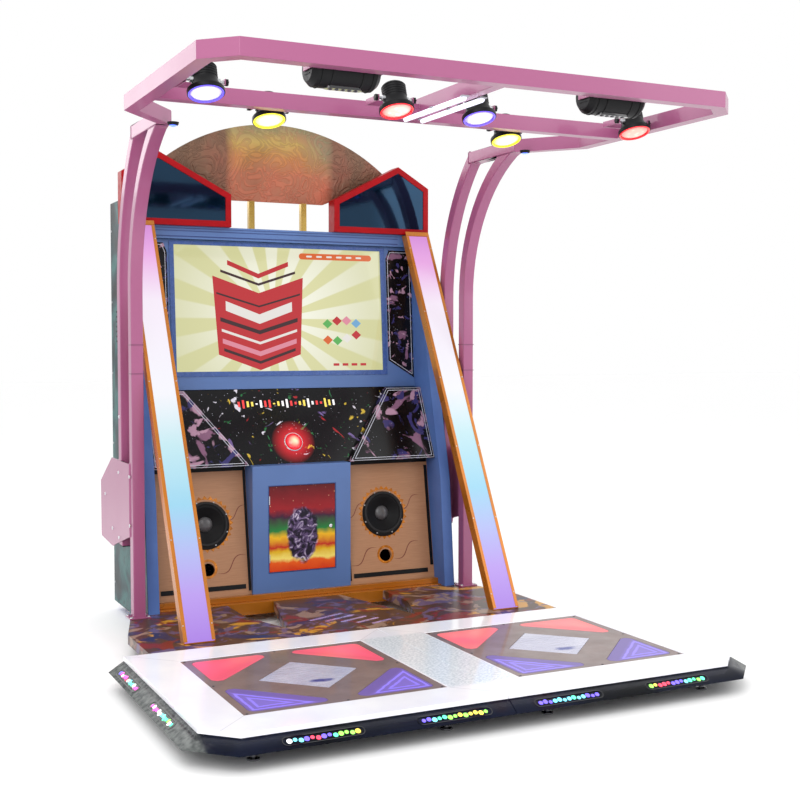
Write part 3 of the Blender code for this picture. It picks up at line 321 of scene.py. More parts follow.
class Shape:
    """A mesh under construction, made of closed solids in the frame's own place."""

    def __init__(self):
        self.mesh = bmesh.new()

    def points(self, places, at=HERE):
        return [self.mesh.verts.new(at @ Vector(place)) for place in places]

    def hoop(self, radius, z, steps, at):
        """Vertices on a circle about the place's own z."""
        turns = [math.tau * i / steps for i in range(steps)]
        return self.points([(radius * math.cos(a), radius * math.sin(a), z) for a in turns], at)

    def close(self, layers):
        """Skins the quads between rings of vertices."""
        for lower, upper in zip(layers, layers[1:]):
            for i in range(len(lower)):
                j = (i + 1) % len(lower)
                self.mesh.faces.new((lower[i], lower[j], upper[j], upper[i]))

    def slab(self, outline, low, high, at=HERE):
        """A flat outline thickened along the place's own z."""
        layers = [self.points([(x, y, z) for x, y in outline], at) for z in (low, high)]
        self.close(layers)
        self.mesh.faces.new(layers[0])
        self.mesh.faces.new(layers[1])
        return self

    def band(self, outer, inner, low, high, at=HERE):
        """A flat ring between two outlines with as many points."""
        rings = [(outer, low), (outer, high), (inner, high), (inner, low)]
        layers = [self.points([(x, y, z) for x, y in outline], at) for outline, z in rings]
        self.close([*layers, layers[0]])
        return self

    def box(self, low, high, at=HERE):
        return self.slab(rectangle(low[0], low[1], high[0], high[1]), low[2], high[2], at)

    def lathe(self, profile, steps, at=HERE):
        """A turned solid about the place's own z; the profile starts and ends on the axis."""
        layers = [self.hoop(r, z, steps, at) for r, z in profile[1:-1]]
        self.close(layers)
        for layer, end in ((layers[0], profile[0]), (layers[-1], profile[-1])):
            (tip,) = self.points([(0, 0, end[1])], at)
            for i in range(steps):
                self.mesh.faces.new((tip, layer[i], layer[(i + 1) % steps]))
        return self

    def ring(self, radius, thick, steps, at=HERE, sides=10):
        """A torus about the place's own z."""
        turns = [math.tau * i / sides for i in range(sides)]
        layers = [self.hoop(radius + thick * math.cos(a), thick * math.sin(a), steps, at) for a in turns]
        self.close([*layers, layers[0]])
        return self

    def piece(self, name, look, slot, body=MACHINE, bevel=0.0):
        """Turns the shape into an object of its own that rides on a body."""
        bmesh.ops.recalc_face_normals(self.mesh, faces=self.mesh.faces)
        mesh = bpy.data.meshes.new(name)
        self.mesh.to_mesh(mesh)
        self.mesh.free()
        obj = bpy.data.objects.new(name, mesh)
        bpy.context.scene.collection.objects.link(obj)
        obj.data.materials.append(look.material)
        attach(obj, body)
        dress(obj, bevel)
        return obj


def rectangle(low_x, low_y, high_x, high_y):
    return [(low_x, low_y), (high_x, low_y), (high_x, high_y), (low_x, high_y)]


def circle(x, y, radius, steps=24):
    turns = [math.tau * i / steps for i in range(steps)]
    return [(x + radius * math.cos(a), y + radius * math.sin(a)) for a in turns]


def knuckle_profile(length):
    """A hinge's knuckle: a short rod with chamfered ends."""
    return [(0, 0), (0.0030, 0), (0.0034, 0.001), (0.0034, length - 0.001), (0.0030, length), (0, length)]


def capsule(x, y, length, height, steps=8):
    """A flat outline with round ends, along x."""
    radius, reach = height / 2, length / 2 - height / 2
    turns = [math.pi * (i / steps - 0.5) for i in range(steps + 1)]
    right = [(x + reach + radius * math.cos(a), y + radius * math.sin(a)) for a in turns]
    left = [(x - reach - radius * math.cos(a), y - radius * math.sin(a)) for a in turns]
    return right + left


def inset(corners, distance):
    """A convex outline, counter-clockwise, moved inwards."""
    result = []
    for i, corner in enumerate(corners):
        here = Vector(corner)
        back = (here - Vector(corners[i - 1])).normalized()
        ahead = (Vector(corners[(i + 1) % len(corners)]) - here).normalized()
        bisector = (Vector((-back.y, back.x)) + Vector((-ahead.y, ahead.x))).normalized()
        result.append(tuple(here + bisector * distance / bisector.dot(Vector((-back.y, back.x)))))
    return result


def place(origin, right, up):
    """A place with its own x, y and z axes: z looks along right x up."""
    out = right.cross(up).normalized()
    columns = (right.normalized(), out.cross(right).normalized(), out)
    return Matrix.Translation(origin) @ Matrix(columns).transposed().to_4x4()


def face_of(node, towards, across=RIGHT):
    """The place on a CAD node's outermost wide face towards a direction, and its low, high and height.

    Its x runs along across from the frame's own zero, its y climbs from the face's foot, its z points out."""
    mesh = frame["nodes"][node].data
    found = {}
    for polygon in mesh.polygons:
        if polygon.normal.dot(towards) > 0.4:
            depth = polygon.normal.dot(mesh.vertices[polygon.vertices[0]].co)
            key = (*(round(c, 1) for c in polygon.normal), round(depth, 2))
            found.setdefault(key, []).append(polygon)
    areas = {key: sum(p.area for p in polygons) for key, polygons in found.items()}
    wide = [key for key, area in areas.items() if area > 0.4 * max(areas.values())]
    group = found[max(wide, key=lambda key: max(p.center.dot(towards) for p in found[key]))]
    normal = max(group, key=lambda p: p.area).normal
    right = (across - normal * across.dot(normal)).normalized()
    up = normal.cross(right)
    points = [mesh.vertices[i].co for p in group for i in p.vertices]
    ups, rights = [up.dot(p) for p in points], [right.dot(p) for p in points]
    foot = points[0] - right * rights[0] - up * (ups[0] - min(ups))
    return place(foot, right, up), (min(rights), max(rights), max(ups) - min(ups))


def screw(shape, at, radius=0.005, height=0.0022):
    """A pan head with a socket."""
    profile = [
        (0, 0.4), (0.42, 0.4), (0.46, 1), (0.75, 1), (1, 0.5), (1, -0.2), (0, -0.2),
    ]
    shape.lathe([(radius * out, height * up) for out, up in profile], 12, at)


def screws(name, spots, look, radius=0.005, height=0.0022):
    """One object of all the screw heads at these places."""
    shape = Shape()
    for at in spots:
        screw(shape, at, radius, height)
    shape.piece(name, look, "plain_steel")


def spot(at, x, y, z=SIT):
    return at @ Matrix.Translation((x, y, z))


# ---------------------------------------------------------------- studio
LENS_MM = 55.15
EYE_LEFT, EYE_AHEAD, EYE_HEIGHT = 2.384, 3.934, 1.457    # ahead is counted from the deck's front edge
EYE_DOWN, EYE_TURN = 2.717, 26.078                       # degrees


def studio():
    """White floor, soft lights and the camera."""
    floor_mesh = bpy.data.meshes.new("floor")
    shape = bmesh.new()
    bmesh.ops.create_grid(shape, x_segments=1, y_segments=1, size=40)
    shape.to_mesh(floor_mesh)
    shape.free()
    floor = bpy.data.objects.new("floor", floor_mesh)
    bpy.context.scene.collection.objects.link(floor)
    floor.location.z = -0.0005
    look = Look("floor", rgb(255, 255, 255), 0.70, specular_ior_level=0.2)
    floor.data.materials.append(look.material)

    world = bpy.data.worlds.new("studio")
    bpy.context.scene.world = world
    world.use_nodes = True
    world.node_tree.nodes["Background"].inputs["Color"].default_value = (1, 1, 1, 1)
    world.node_tree.nodes["Background"].inputs["Strength"].default_value = 1.0

    lights = (
        ("key", (-3.4, -4.6, 4.6), 5.0, 190),
        ("fill", (4.4, -3.2, 3.4), 4.0, 70),
        ("rim", (-1.5, 4.6, 4.4), 4.0, 80),
    )
    for name, where, size, power in lights:
        lamp = bpy.data.lights.new(name, "AREA")
        lamp.size, lamp.energy = size, power
        obj = bpy.data.objects.new(name, lamp)
        bpy.context.scene.collection.objects.link(obj)
        obj.location = where
        obj.rotation_euler = (Vector((0, 0, 1.0)) - Vector(where)).to_track_quat("-Z", "Y").to_euler()

    camera = bpy.data.cameras.new("camera")
    camera.lens, camera.sensor_width = LENS_MM, 36.0
    eye = bpy.data.objects.new("camera", camera)
    bpy.context.scene.collection.objects.link(eye)
    eye.location = (-EYE_LEFT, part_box("deck_left")[0].y - EYE_AHEAD, EYE_HEIGHT)
    eye.rotation_euler = (math.radians(90 - EYE_DOWN), 0, -math.radians(EYE_TURN))
    bpy.context.scene.camera = eye
    bpy.context.scene.view_settings.view_transform = "Standard"


studio()

BLACK_PLASTIC = plastic("black_plastic", rgb(13, 13, 16), 0.38, specular_ior_level=0.20)
MATT_BLACK = plastic("matt_black", rgb(12, 12, 14), 0.50, specular_ior_level=0.18)
CHROME = mirror_sheet("chrome", (0.78, 0.79, 0.82), 0.12, 1.0)
ZINC = steel("zinc")
DARK_SCREW = steel("dark_screw", (0.10, 0.10, 0.11), 0.35)
PINK = paint("pink_paint", rgb(158, 84, 124), 0.34, 0.05)
BLUE = laminate("blue_laminate", rgb(84, 114, 168), 0.34)
GOLD = mirror_sheet("gold_trim", rgb(192, 114, 22), 0.28, 0.40)
RED_EDGE = plastic("red_edge", rgb(160, 4, 16), 0.40, specular_ior_level=0.15)
RUBBER = plastic("rubber", rgb(24, 24, 25), 0.68)
GLOSS_BLACK = Look("gloss_black", rgb(16, 17, 24), 0.07, coat_weight=1.0, coat_roughness=0.02)
GLOSS_BLACK.worn(rgb(16, 17, 24), 0.08, spread=0.04, scale=6)


# ---------------------------------------------------------------- dance platform
DIODES = (
    rgb(120, 235, 255), rgb(255, 60, 90), rgb(255, 80, 200), rgb(110, 90, 255),
    rgb(150, 255, 90), rgb(255, 225, 80), rgb(90, 255, 190), rgb(255, 255, 255),
)
DIODE_LOOKS = [glowing(f"diode_{i}", colour, 1.5) for i, colour in enumerate(DIODES)]
RUNS = (                     # which diode colour stands where along each window
    (7, 0, 0, 3, 1, 1, 3, 3, 6, 4, 4, 4, 5), (3, 3, 0, 6, 6, 4, 4, 5, 4, 5, 5, 5, 4),
    (3, 3, 3, 0, 0, 0, 0, 6, 0, 0, 3, 3, 3), (4, 5, 1, 1, 1, 3, 3, 3, 0, 6, 6, 4, 6),
    (2, 7, 2, 2, 7, 7, 0, 0, 6, 6, 4, 7, 6), (3, 2, 7, 2, 2, 1, 7, 0, 6, 6, 7, 2, 2),
)
WINDOW = (0.312, 0.040)      # length and height of a light window in the skirt
PAD_CENTRE = {}
for side_name, _ in SIDES:
    pad_low, pad_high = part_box(f"pad_plate_{side_name}")
    PAD_CENTRE[side_name] = (pad_low + pad_high) / 2


def deck_look(word):
    """White gloss board, with a fine fleck, a frosted strip between the pads and thin mitre joints,
    brightened by a faint painted glow.
    """
    white = rgb(246, 246, 252)
    look = Look(f"deck_{word}", white, 0.20, coat_weight=0.5, coat_roughness=0.05)
    kept = look.ramp(look.noise(150, 2), (0.50, 0.0), (0.58, 0.8))
    base = look.blend(look.times(look.dots(330, 0.16), kept), white, rgb(176, 180, 214))
    cloud = look.mottled(3.5, 4, rgb(228, 228, 244), rgb(255, 255, 255))
    base = look.blend(0.5, base, cloud)
    x, y, _ = look.axes()
    across, along = look.gap(x, PAD_CENTRE[word].x), look.gap(y, PAD_CENTRE[word].y)
    between = look.ramp(look.size(x), (0.150, 1.0), (0.158, 0.0))
    between = look.times(between, look.ramp(along, (0.400, 0.85), (0.440, 0.0)))
    grain = look.mottled(95, 3, rgb(196, 208, 216), rgb(236, 243, 247), 0.10)
    base = look.blend(between, base, grain)
    joint = look.ramp(look.gap(across, along), (0.0, 1.0), (0.0016, 0.0))
    look.give(base_color=look.blend(look.times(joint, 0.35), base, rgb(120, 120, 140)))
    # painted light: a faint white glow that brightens the board, which holds no lamp
    look.give(emission_color=rgb(255, 255, 255), emission_strength=0.06)
    return look.bump(joint, -0.0004)


def skirt_look():
    """Black sheet, its flanks painted a lighter mottled grey as painted light on the lit sides; below the
    skirt's edge the same node's feet are zinc.
    """
    look = Look("black_skirt", rgb(6, 7, 11), 0.16, 0.0, specular_ior_level=0.08)
    x, _, z = look.axes()
    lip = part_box("platform_base_left")[0].z + 0.060
    above = look.ramp(z, (lip, 0.0), (lip + 0.002, 1.0))
    cloud = look.noise(2.6, 3)
    tint = look.ramp(cloud, (0.35, rgb(6, 8, 13)), (0.60, rgb(14, 20, 40)), (0.75, rgb(30, 12, 22)))
    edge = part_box("deck_right")[1].x
    # painted light: the flanks get a lighter grey than the front, as lit sides; the sheet stays non-metal
    # there
    flank = look.ramp(look.over(look.size(x), 2 * edge), (0.498, 0.0), (0.502, 1.0))
    painted_lit_flank = look.mottled(40, 4, rgb(44, 50, 50), rgb(104, 108, 106))
    tint = look.blend(flank, tint, painted_lit_flank)
    look.give(base_color=look.blend(above, rgb(150, 150, 155), tint))
    look.give(metallic=look.minus(0.9, look.times(above, 0.9)))
    return look.bump(look.noise(5, 2), 0.0006)


def panel_look(name, warm):
    """Lit acrylic over rows of diodes that follow the triangle's edges."""
    low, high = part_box(name)
    corner_x = low.x if name.endswith("left") else high.x
    corner_y = low.y if "front" in name else high.y
    leg = high.x - low.x
    look = Look(name, rgb(150, 60, 75) if warm else rgb(104, 84, 140), 0.30, specular_ior_level=0.25)
    x, y, _ = look.axes()
    across = look.gap(x, corner_x)
    along = look.gap(y, corner_y)
    diagonal = look.minus(leg * 0.93, look.plus(across, along))
    edge = look.calc("MINIMUM", look.calc("MINIMUM", across, along), look.times(diagonal, 0.7071))
    ripple = look.plus(edge, look.times(look.noise(24, 2), 0.010))
    if warm:
        glow = look.ramp(ripple, (0.0, 0.72), (0.045, 0.92), (0.080, 1.0), (0.14, 0.95))
        tone = look.mottled(3, 2, rgb(236, 84, 114), rgb(246, 130, 122))
        look.give(emission_color=tone, emission_strength=look.times(glow, 0.95))
        return look
    rows = look.ramp(
        ripple, (0.006, 0.12), (0.018, 0.26), (0.024, 1.0), (0.031, 0.28),
        (0.046, 0.24), (0.053, 0.95), (0.061, 0.30),
    )
    look.give(emission_color=rgb(132, 120, 250), emission_strength=look.times(rows, 1.15))
    return look


def centre_look(name):
    """Brushed plate with a dark blue fleck towards the player."""
    low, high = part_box(name)
    middle = (low + high) / 2
    look = Look(name, rgb(200, 200, 218), 0.30, 0.30)
    stretched = look.stretched(14, 420, 14)
    brush = look.noise(1.0, 4, where=stretched)
    look.give(roughness=look.ramp(brush, (0.3, 0.18), (0.7, 0.36)))
    x, y, _ = look.axes()
    across = look.times(look.minus(x, middle.x + 0.015), 0.55)
    along = look.minus(y, middle.y - 0.105)
    reach = look.hypot(across, along)
    reach = look.plus(reach, look.times(look.noise(30, 3), 0.030))
    mark = look.ramp(reach, (0.030, 0.9), (0.048, 0.0))
    shade = look.mottled(6, 3, rgb(186, 186, 208), rgb(214, 214, 230), 0.20)
    look.give(base_color=look.blend(mark, shade, rgb(30, 52, 150)))
    return look.bump(brush, 0.00005)


def bronze_look():
    """Dull bronze sheet with a fine tooth underfoot."""
    look = mirror_sheet("bronze_plate", rgb(136, 116, 112), 0.40, 0.15, scale=12)
    return look.bump(look.noise(900, 2), 0.00007)


def make_platform():
    """Decks, step panels, pad plates and skirts."""
    for word, _ in SIDES:
        cad([f"deck_{word}"], deck_look(word), 0.0012)
        for depth, warm in (("front", False), ("rear", True)):
            for across in ("left", "right"):
                name = f"panel_{word}_{depth}_{across}"
                cad([name], panel_look(name, warm), 0.0008)
        cad([f"panel_{word}_centre"], centre_look(f"panel_{word}_centre"), 0.0010)
    cad(pair("pad_plate"), bronze_look(), 0.0008)
    cad(pair("platform_base"), skirt_look(), 0.0012)
    make_pad_screws()
    make_windows()


def make_pad_screws():
    """Countersunk screws at the corners and middles of each pad's border."""
    spots = []
    for word, _ in SIDES:
        low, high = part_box(f"pad_plate_{word}")
        middle, inward = (low + high) / 2, 0.016
        for x in (low.x + inward, middle.x, high.x - inward):
            for y in (low.y + inward, middle.y, high.y - inward):
                if (x, y) != (middle.x, middle.y):
                    spots.append(Matrix.Translation((x, y, high.z + SIT)))
    screws("pad_screws", spots, DARK_SCREW, radius=0.0055, height=0.0012)


def make_windows():
    """Capsule windows in the skirt, each over a row of coloured diodes."""
    length, height = WINDOW
    frames, diodes = Shape(), [Shape() for _ in DIODE_LOOKS]
    flank = [PAD_CENTRE["left"].y + step for step in (-0.150, 0.360)]
    rows = (
        ("platform_base_left", -AHEAD, RIGHT, (-0.770, -0.250)),
        ("platform_base_right", -AHEAD, RIGHT, (0.250, 0.770)),
        ("platform_base_left", -RIGHT, -AHEAD, [-y for y in flank]),
        ("platform_base_right", RIGHT, AHEAD, flank),
    )
    count = 0
    for node, way, across, spots in rows:
        at, (_, _, tall) = face_of(node, way, across)
        middle = tall * 0.46
        for x in spots:
            inner = capsule(x, middle, length - 0.006, height - 0.006)
            frames.band(capsule(x, middle, length, height), inner, SIT, 0.0016, at)
            for k, pick in enumerate(RUNS[count % len(RUNS)]):
                here = spot(at, x + length * (k - 6) / 14.5, middle + 0.003 * math.sin(k * 2.1))
                radius = (0.0105, 0.0080, 0.0095)[(k + count) % 3]
                dome = [(0, 0.0034), (radius * 0.5, 0.0030), (radius * 0.86, 0.0018), (radius, 0.0), (0, 0.0)]
                diodes[pick].lathe(dome, 14, here)
            count += 1
    frames.piece("window_rims", GLOSS_BLACK, "black_skirt")
    for index, shape in enumerate(diodes):
        shape.piece(f"skirt_diodes_{index}", DIODE_LOOKS[index], "diffuser")


# ---------------------------------------------------------------- foot boards and cabinet carcass
def make_boards():
    """Printed foot boards, and the gilt base and rail."""
    inks = (rgb(204, 146, 40), rgb(42, 44, 82), rgb(150, 122, 104), rgb(122, 38, 28), rgb(98, 82, 118))
    cad(["bridge_left", "bridge_centre", "bridge_right"],
        film_print("foot_print", rgb(78, 52, 38), inks, 2.6, cover=0.570, roughness=0.30), 0.0015)
    cad(["cabinet_base", "trim_rail"], GOLD, 0.0020)
    low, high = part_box("bridge_centre")
    slashes = Shape()
    for k in range(5):
        x, y = -0.085 + 0.052 * k, low.y + 0.40 - 0.050 * k
        turn = Matrix.Translation((x, y, high.z)) @ Matrix.Rotation(math.radians(22), 4, "Z")
        slashes.slab(capsule(0, 0, 0.22 - 0.022 * k, 0.020), SIT, SIT + PRINT, turn)
    violet = Look("violet_ink", rgb(190, 150, 232), 0.18, coat_weight=0.7)
    violet.worn(rgb(204, 178, 240), 0.18, scale=30, shade=0.55)
    slashes.piece("foot_board_slashes", violet, "printed_board")


def flank_look():
    """Blue laminate, with a dark blue-green printed pattern on the outer face, darkened further by painted
    shade.
    """
    look = laminate("side_laminate", rgb(76, 108, 172), 0.42)
    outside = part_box("side_panel_right")[1].x - 0.0004
    x, _, _ = look.axes()
    film = look.ramp(look.over(look.size(x), outside), (0.9990, 0.0), (1.0, 1.0))
    swirl = look.noise(1.6, 5, distortion=2.2)
    # the outer face's dark colours are partly a real print and partly painted shade, as that face stood in
    # shadow
    ink = look.ramp(
        swirl, (0.36, rgb(6, 14, 18)), (0.48, rgb(16, 56, 62)),
        (0.56, rgb(34, 96, 94)), (0.62, rgb(10, 28, 38)),
    )
    base = look.mottled(3, 5, rgb(70, 100, 162), rgb(86, 120, 184))
    look.give(base_color=look.blend(film, base, ink), specular_ior_level=0.3)
    return look


def make_carcass():
    """Sides, back, door, crown and screen surround."""
    cad(pair("side_panel"), flank_look(), 0.0020)
    cad(["back_panel", "rear_door"], laminate("black_board", rgb(30, 30, 34), 0.42, 300), 0.0012)
    cad(["crown_cover", "screen_surround", "coin_box"], BLUE, 0.0020)
    low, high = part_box("crown_cover")
    at = place(Vector((0, low.y, low.z)), RIGHT, UP)
    grooves = Shape()
    tall, half = high.z - low.z, high.x - 0.100
    for share, thick in ((0.20, 0.006), (0.62, 0.004), (0.82, 0.003)):
        grooves.slab(capsule(0, tall * share, 2 * half, thick), SIT, 0.0012, at)
    grooves.piece("crown_lines", plastic("crown_line", rgb(40, 62, 118), 0.35), "blue_laminate")


# ---------------------------------------------------------------- cabinet front
SCREEN_AT, (_, _, SCREEN_TALL) = face_of("screen_surround", -AHEAD)
SCREEN_HALF = 0.605          # half the picture's width
SILL, HEAD = 0.092, 0.024    # surround below and above the picture
GLASS_DEPTH = -0.011         # of the picture, behind the surround's face


def picture_look(middle):
    """Lit picture: a pale sunburst whose rays turn round a point low in the middle."""
    look = Look("picture", rgb(20, 20, 20), 0.08, coat_weight=0.4)
    x, _, z = look.axes()
    hub_x, hub_z = middle.x - 0.05, middle.z - 0.05
    angle = look.calc("ARCTAN2", look.minus(z, hub_z), look.minus(x, hub_x))
    rays = look.calc("SINE", look.times(angle, 17.0))
    pale, ray = rgb(226, 224, 168), rgb(250, 250, 232)
    burst = look.ramp(look.plus(look.times(rays, 0.5), 0.5), (0.42, pale), (0.58, ray))
    away = look.distance(middle)
    bright = look.blend(look.ramp(away, (0.15, 0.0), (0.65, 0.75)), burst, rgb(206, 206, 150))
    look.give(emission_color=bright, emission_strength=0.92)
    return look


def ink_light(name, colour, strength=0.85):
    """A shape drawn on the lit screen."""
    look = Look(name, rgb(12, 12, 12), 0.15, emission_color=colour)
    scan = look.node("TexWave", {"Vector": look.place, "Scale": 240.0}, bands_direction="Z")
    look.give(emission_strength=look.ramp(scan, (0.0, strength * 0.90), (1.0, strength)))
    return look


def make_screen():
    """The monitor, its lit picture and its frame."""
    cad(["monitor"], GLOSS_BLACK, 0.0010)
    at, top, depth = SCREEN_AT, SCREEN_TALL - HEAD, GLASS_DEPTH
    glass = rectangle(-SCREEN_HALF + 0.001, SILL + 0.001, SCREEN_HALF - 0.001, top - 0.001)
    picture = Shape().slab(glass, depth, depth + 0.002, at)
    middle = at @ Vector((0, (SILL + top) / 2, depth))
    picture.piece("picture_glass", picture_look(middle), "screen")
    bezel = Shape().band(
        rectangle(-SCREEN_HALF - 0.022, SILL - 0.022, SCREEN_HALF + 0.022, top + 0.016),
        rectangle(-SCREEN_HALF + 0.004, SILL + 0.004, SCREEN_HALF - 0.004, top - 0.004), SIT, 0.005, at,
    )
    edging = plastic("screen_frame", rgb(62, 92, 156), 0.28)
    bezel.piece("screen_frame", edging, "blue_laminate", bevel=0.0015)
    make_screen_art(at, depth + 0.002, top)
    make_side_strips(at)


def make_screen_art(at, depth, top):
    """Plain moving-arrow art: a column of chevrons, a progress bar and small tokens."""
    colours = {
        "red": rgb(206, 34, 44), "white": rgb(250, 246, 240), "dark": rgb(58, 16, 26),
        "orange": rgb(236, 106, 40), "green": rgb(96, 190, 92),
        "pink": rgb(240, 150, 170), "sky": rgb(120, 180, 226),
    }
    inks = {name: ink_light("ink_" + name, colour) for name, colour in colours.items()}
    shapes = {name: Shape() for name in inks}
    layers = ("red", "orange", "dark", "green", "pink", "sky", "white")
    lift = {name: depth + SIT + 0.0004 * level for level, name in enumerate(layers)}

    def draw(ink, outline):
        shapes[ink].slab(outline, lift[ink], lift[ink] + PRINT, at)

    def chevron(x, y, wide, tall, thick):
        low = [(x - wide, y + tall), (x, y), (x + wide, y + tall)]
        return low + [(a, b + thick) for a, b in low[::-1]]

    centre = -0.130
    draw("red", [
        (centre - 0.235, SILL + 0.095), (centre, SILL + 0.010), (centre + 0.235, SILL + 0.095),
        (centre + 0.260, SILL + 0.520), (centre, SILL + 0.430), (centre - 0.260, SILL + 0.520),
    ])
    for ink, y, wide, thick in (
        ("dark", 0.044, 0.205, 0.016), ("pink", 0.086, 0.212, 0.026), ("white", 0.150, 0.216, 0.014),
        ("dark", 0.205, 0.222, 0.022), ("white", 0.262, 0.190, 0.052), ("dark", 0.352, 0.240, 0.010),
        ("dark", 0.470, 0.215, 0.014), ("red", 0.510, 0.175, 0.026),
    ):
        draw(ink, chevron(centre, SILL + y, wide, 0.070, thick))
    draw("orange", capsule(0.330, top - 0.045, 0.440, 0.034))
    for k in range(6):
        draw("white", capsule(0.170 + 0.060 * k, top - 0.045, 0.034, 0.010))
    for k, ink in enumerate(("green", "red", "pink", "sky", "orange", "green", "white", "red")):
        x, y = 0.270 + 0.058 * (k % 4), SILL + 0.265 - 0.075 * (k // 4) + 0.02 * math.sin(k)
        draw(ink, [(x - 0.030, y), (x, y - 0.026), (x + 0.030, y), (x, y + 0.026)])
    for k in range(4):
        draw("red", rectangle(0.300 + 0.055 * k, SILL + 0.030, 0.335 + 0.055 * k, SILL + 0.044))
    for name, shape in shapes.items():
        shape.piece(f"screen_art_{name}", inks[name], "screen")


NIGHT_INKS = (rgb(130, 92, 118), rgb(176, 138, 160), rgb(56, 52, 104))


def make_side_strips(at):
    """Dark printed strips beside the screen, each with a thin pale outline."""
    night = film_print("side_strip_print", rgb(12, 12, 16), NIGHT_INKS, 7.5, cover=0.60, stars=70)
    pale = plastic("pale_line", rgb(206, 208, 220), 0.30)
    strips, lines = Shape(), Shape()
    half_gap, outer = SCREEN_HALF + 0.032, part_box("screen_surround")[1].x - 0.006
    top = SCREEN_TALL - 0.020
    for side in (-1, 1):
        outline = [
            (half_gap, 0.150), (outer, 0.050), (outer, top), (half_gap + 0.020, top), (half_gap, top - 0.050),
        ]
        corners = [(side * x, y) for x, y in outline][::side]
        strips.slab(corners, SIT, SIT + PRINT, at)
        lines.band(inset(corners, 0.010), inset(corners, 0.013), SIT + PRINT, 3 * PRINT, at)
    strips.piece("side_strips", night, "black_gloss")
    lines.piece("side_strip_lines", pale, "black_gloss")


def control_look(button):
    """Black print with ink splashes, stars and a red glow round the button."""
    inks = (rgb(116, 96, 150), rgb(168, 40, 44), rgb(206, 176, 60), rgb(214, 210, 222), rgb(40, 108, 62))
    look = film_print("control_print", rgb(7, 7, 10), inks, 6.0, cover=0.665, stars=52, roughness=0.16)
    away = look.distance(button)
    look.give(emission_color=rgb(255, 48, 58), emission_strength=look.ramp(away, (0.045, 0.75), (0.125, 0.0)))
    return look


def make_controls():
    """The control panel, its two boxes and the start button."""
    at, (_, _, tall) = face_of("control_panel", -AHEAD)
    low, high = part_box("start_button")
    button = (low + high) / 2
    cad(["control_panel"], control_look(button), 0.0012)
    ground = rgb(7, 7, 10)
    night = film_print("control_box_print", ground, NIGHT_INKS, 4.0, cover=0.565, stars=60, roughness=0.20)
    cad(pair("control_box"), night, 0.0022)
    make_box_lines()
    make_button(at, at.inverted() @ button)
    make_equaliser(at, tall)


def make_box_lines():
    """A pale line round the face of each control box."""
    lines = Shape()
    for word, side in SIDES:
        node = f"control_box_{word}"
        at, (low_x, high_x, tall) = face_of(node, -AHEAD)
        inverse = at.inverted()
        points = [inverse @ v.co for v in frame["nodes"][node].data.vertices]
        on_face = [p for p in points if abs(p.z) < 0.0006]
        feet = [p.x for p in on_face if p.y < 0.001]
        heads = [p.x for p in on_face if p.y > tall - 0.001]
        corners = [(min(feet), 0), (max(feet), 0), (max(heads), tall), (min(heads), tall)]
        lines.band(inset(corners, 0.016), inset(corners, 0.0195), SIT, 0.0012, at)
        lines.band(inset(corners, 0.004), inset(corners, 0.0065), SIT, 0.0012, at)
    lines.piece("control_box_lines", plastic("box_line", rgb(190, 192, 204), 0.25), "black_gloss")


def make_button(at, centre):
    """Start button: a lit red dome in a chromed bezel."""
    here = spot(at, centre.x, centre.y)
    bezel = [
        (0.0535, 0.0), (0.0535, 0.0028), (0.0515, 0.0048), (0.0485, 0.0048), (0.0470, 0.0030), (0.0470, 0.0),
    ]
    ring = Shape()
    layers = [ring.hoop(radius, z, 40, here) for radius, z in bezel]
    ring.close([*layers, layers[0]])
    ring.piece("button_bezel", CHROME, "black_gloss")
    look = Look("start_button", rgb(190, 10, 20), 0.10, coat_weight=1.0, transmission_weight=0.15)
    low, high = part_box("start_button")
    top = (low + high) / 2 + (at.to_3x3() @ Vector((0, 0, 1))) * 0.016
    away = look.distance(top)
    look.give(emission_color=look.ramp(away, (0.010, rgb(255, 214, 170)), (0.034, rgb(255, 44, 60))))
    look.give(emission_strength=look.ramp(away, (0.010, 1.6), (0.050, 0.9)))
    cad(["start_button"], look, 0.0)


def make_equaliser(at, tall):
    """A row of plain coloured level bars along the head of the control panel."""
    colours = (rgb(232, 60, 60), rgb(240, 214, 90), rgb(236, 236, 236))
    bars = [Shape() for _ in colours]
    for k in range(23):
        x = -0.275 + 0.025 * k
        height = 0.030 + 0.016 * math.sin(k * 1.3) + 0.010 * math.sin(k * 2.9)
        low, high = tall * 0.80 - height / 2, tall * 0.80 + height / 2
        bars[(k // 2) % 3].slab(rectangle(x - 0.006, low, x + 0.006, high), SIT, 0.0010, at)
    for index, (shape, colour) in enumerate(zip(bars, colours)):
        ink = Look(f"bar_ink_{index}", colour, 0.25, emission_color=colour, emission_strength=0.35)
        shape.piece(f"level_bars_{index}", ink.worn(colour, 0.25), "black_gloss")


# ---------------------------------------------------------------- speakers
KRAFT = rgb(176, 128, 92)
TEETH = 28                   # of the toothed ring round a woofer
PORT_DROP = 0.231            # from a woofer's centre to its port's
SWASHES = (                  # place from the woofer's centre, and size
    (-0.165, 0.02, 1.0), (0.165, 0.05, 1.0), (-0.13, -0.235, 1.2), (0.13, -0.215, 1.2),
)


def kraft_look():
    """Pale brown board with a grain along it."""
    look = laminate("kraft_board", KRAFT, 0.42, 500)
    stretched = look.stretched(3, 3, 60)
    grain = look.noise(4, 4, where=stretched)
    look.give(base_color=look.ramp(grain, (0.3, rgb(168, 120, 86)), (0.7, rgb(180, 132, 96))))
    return look


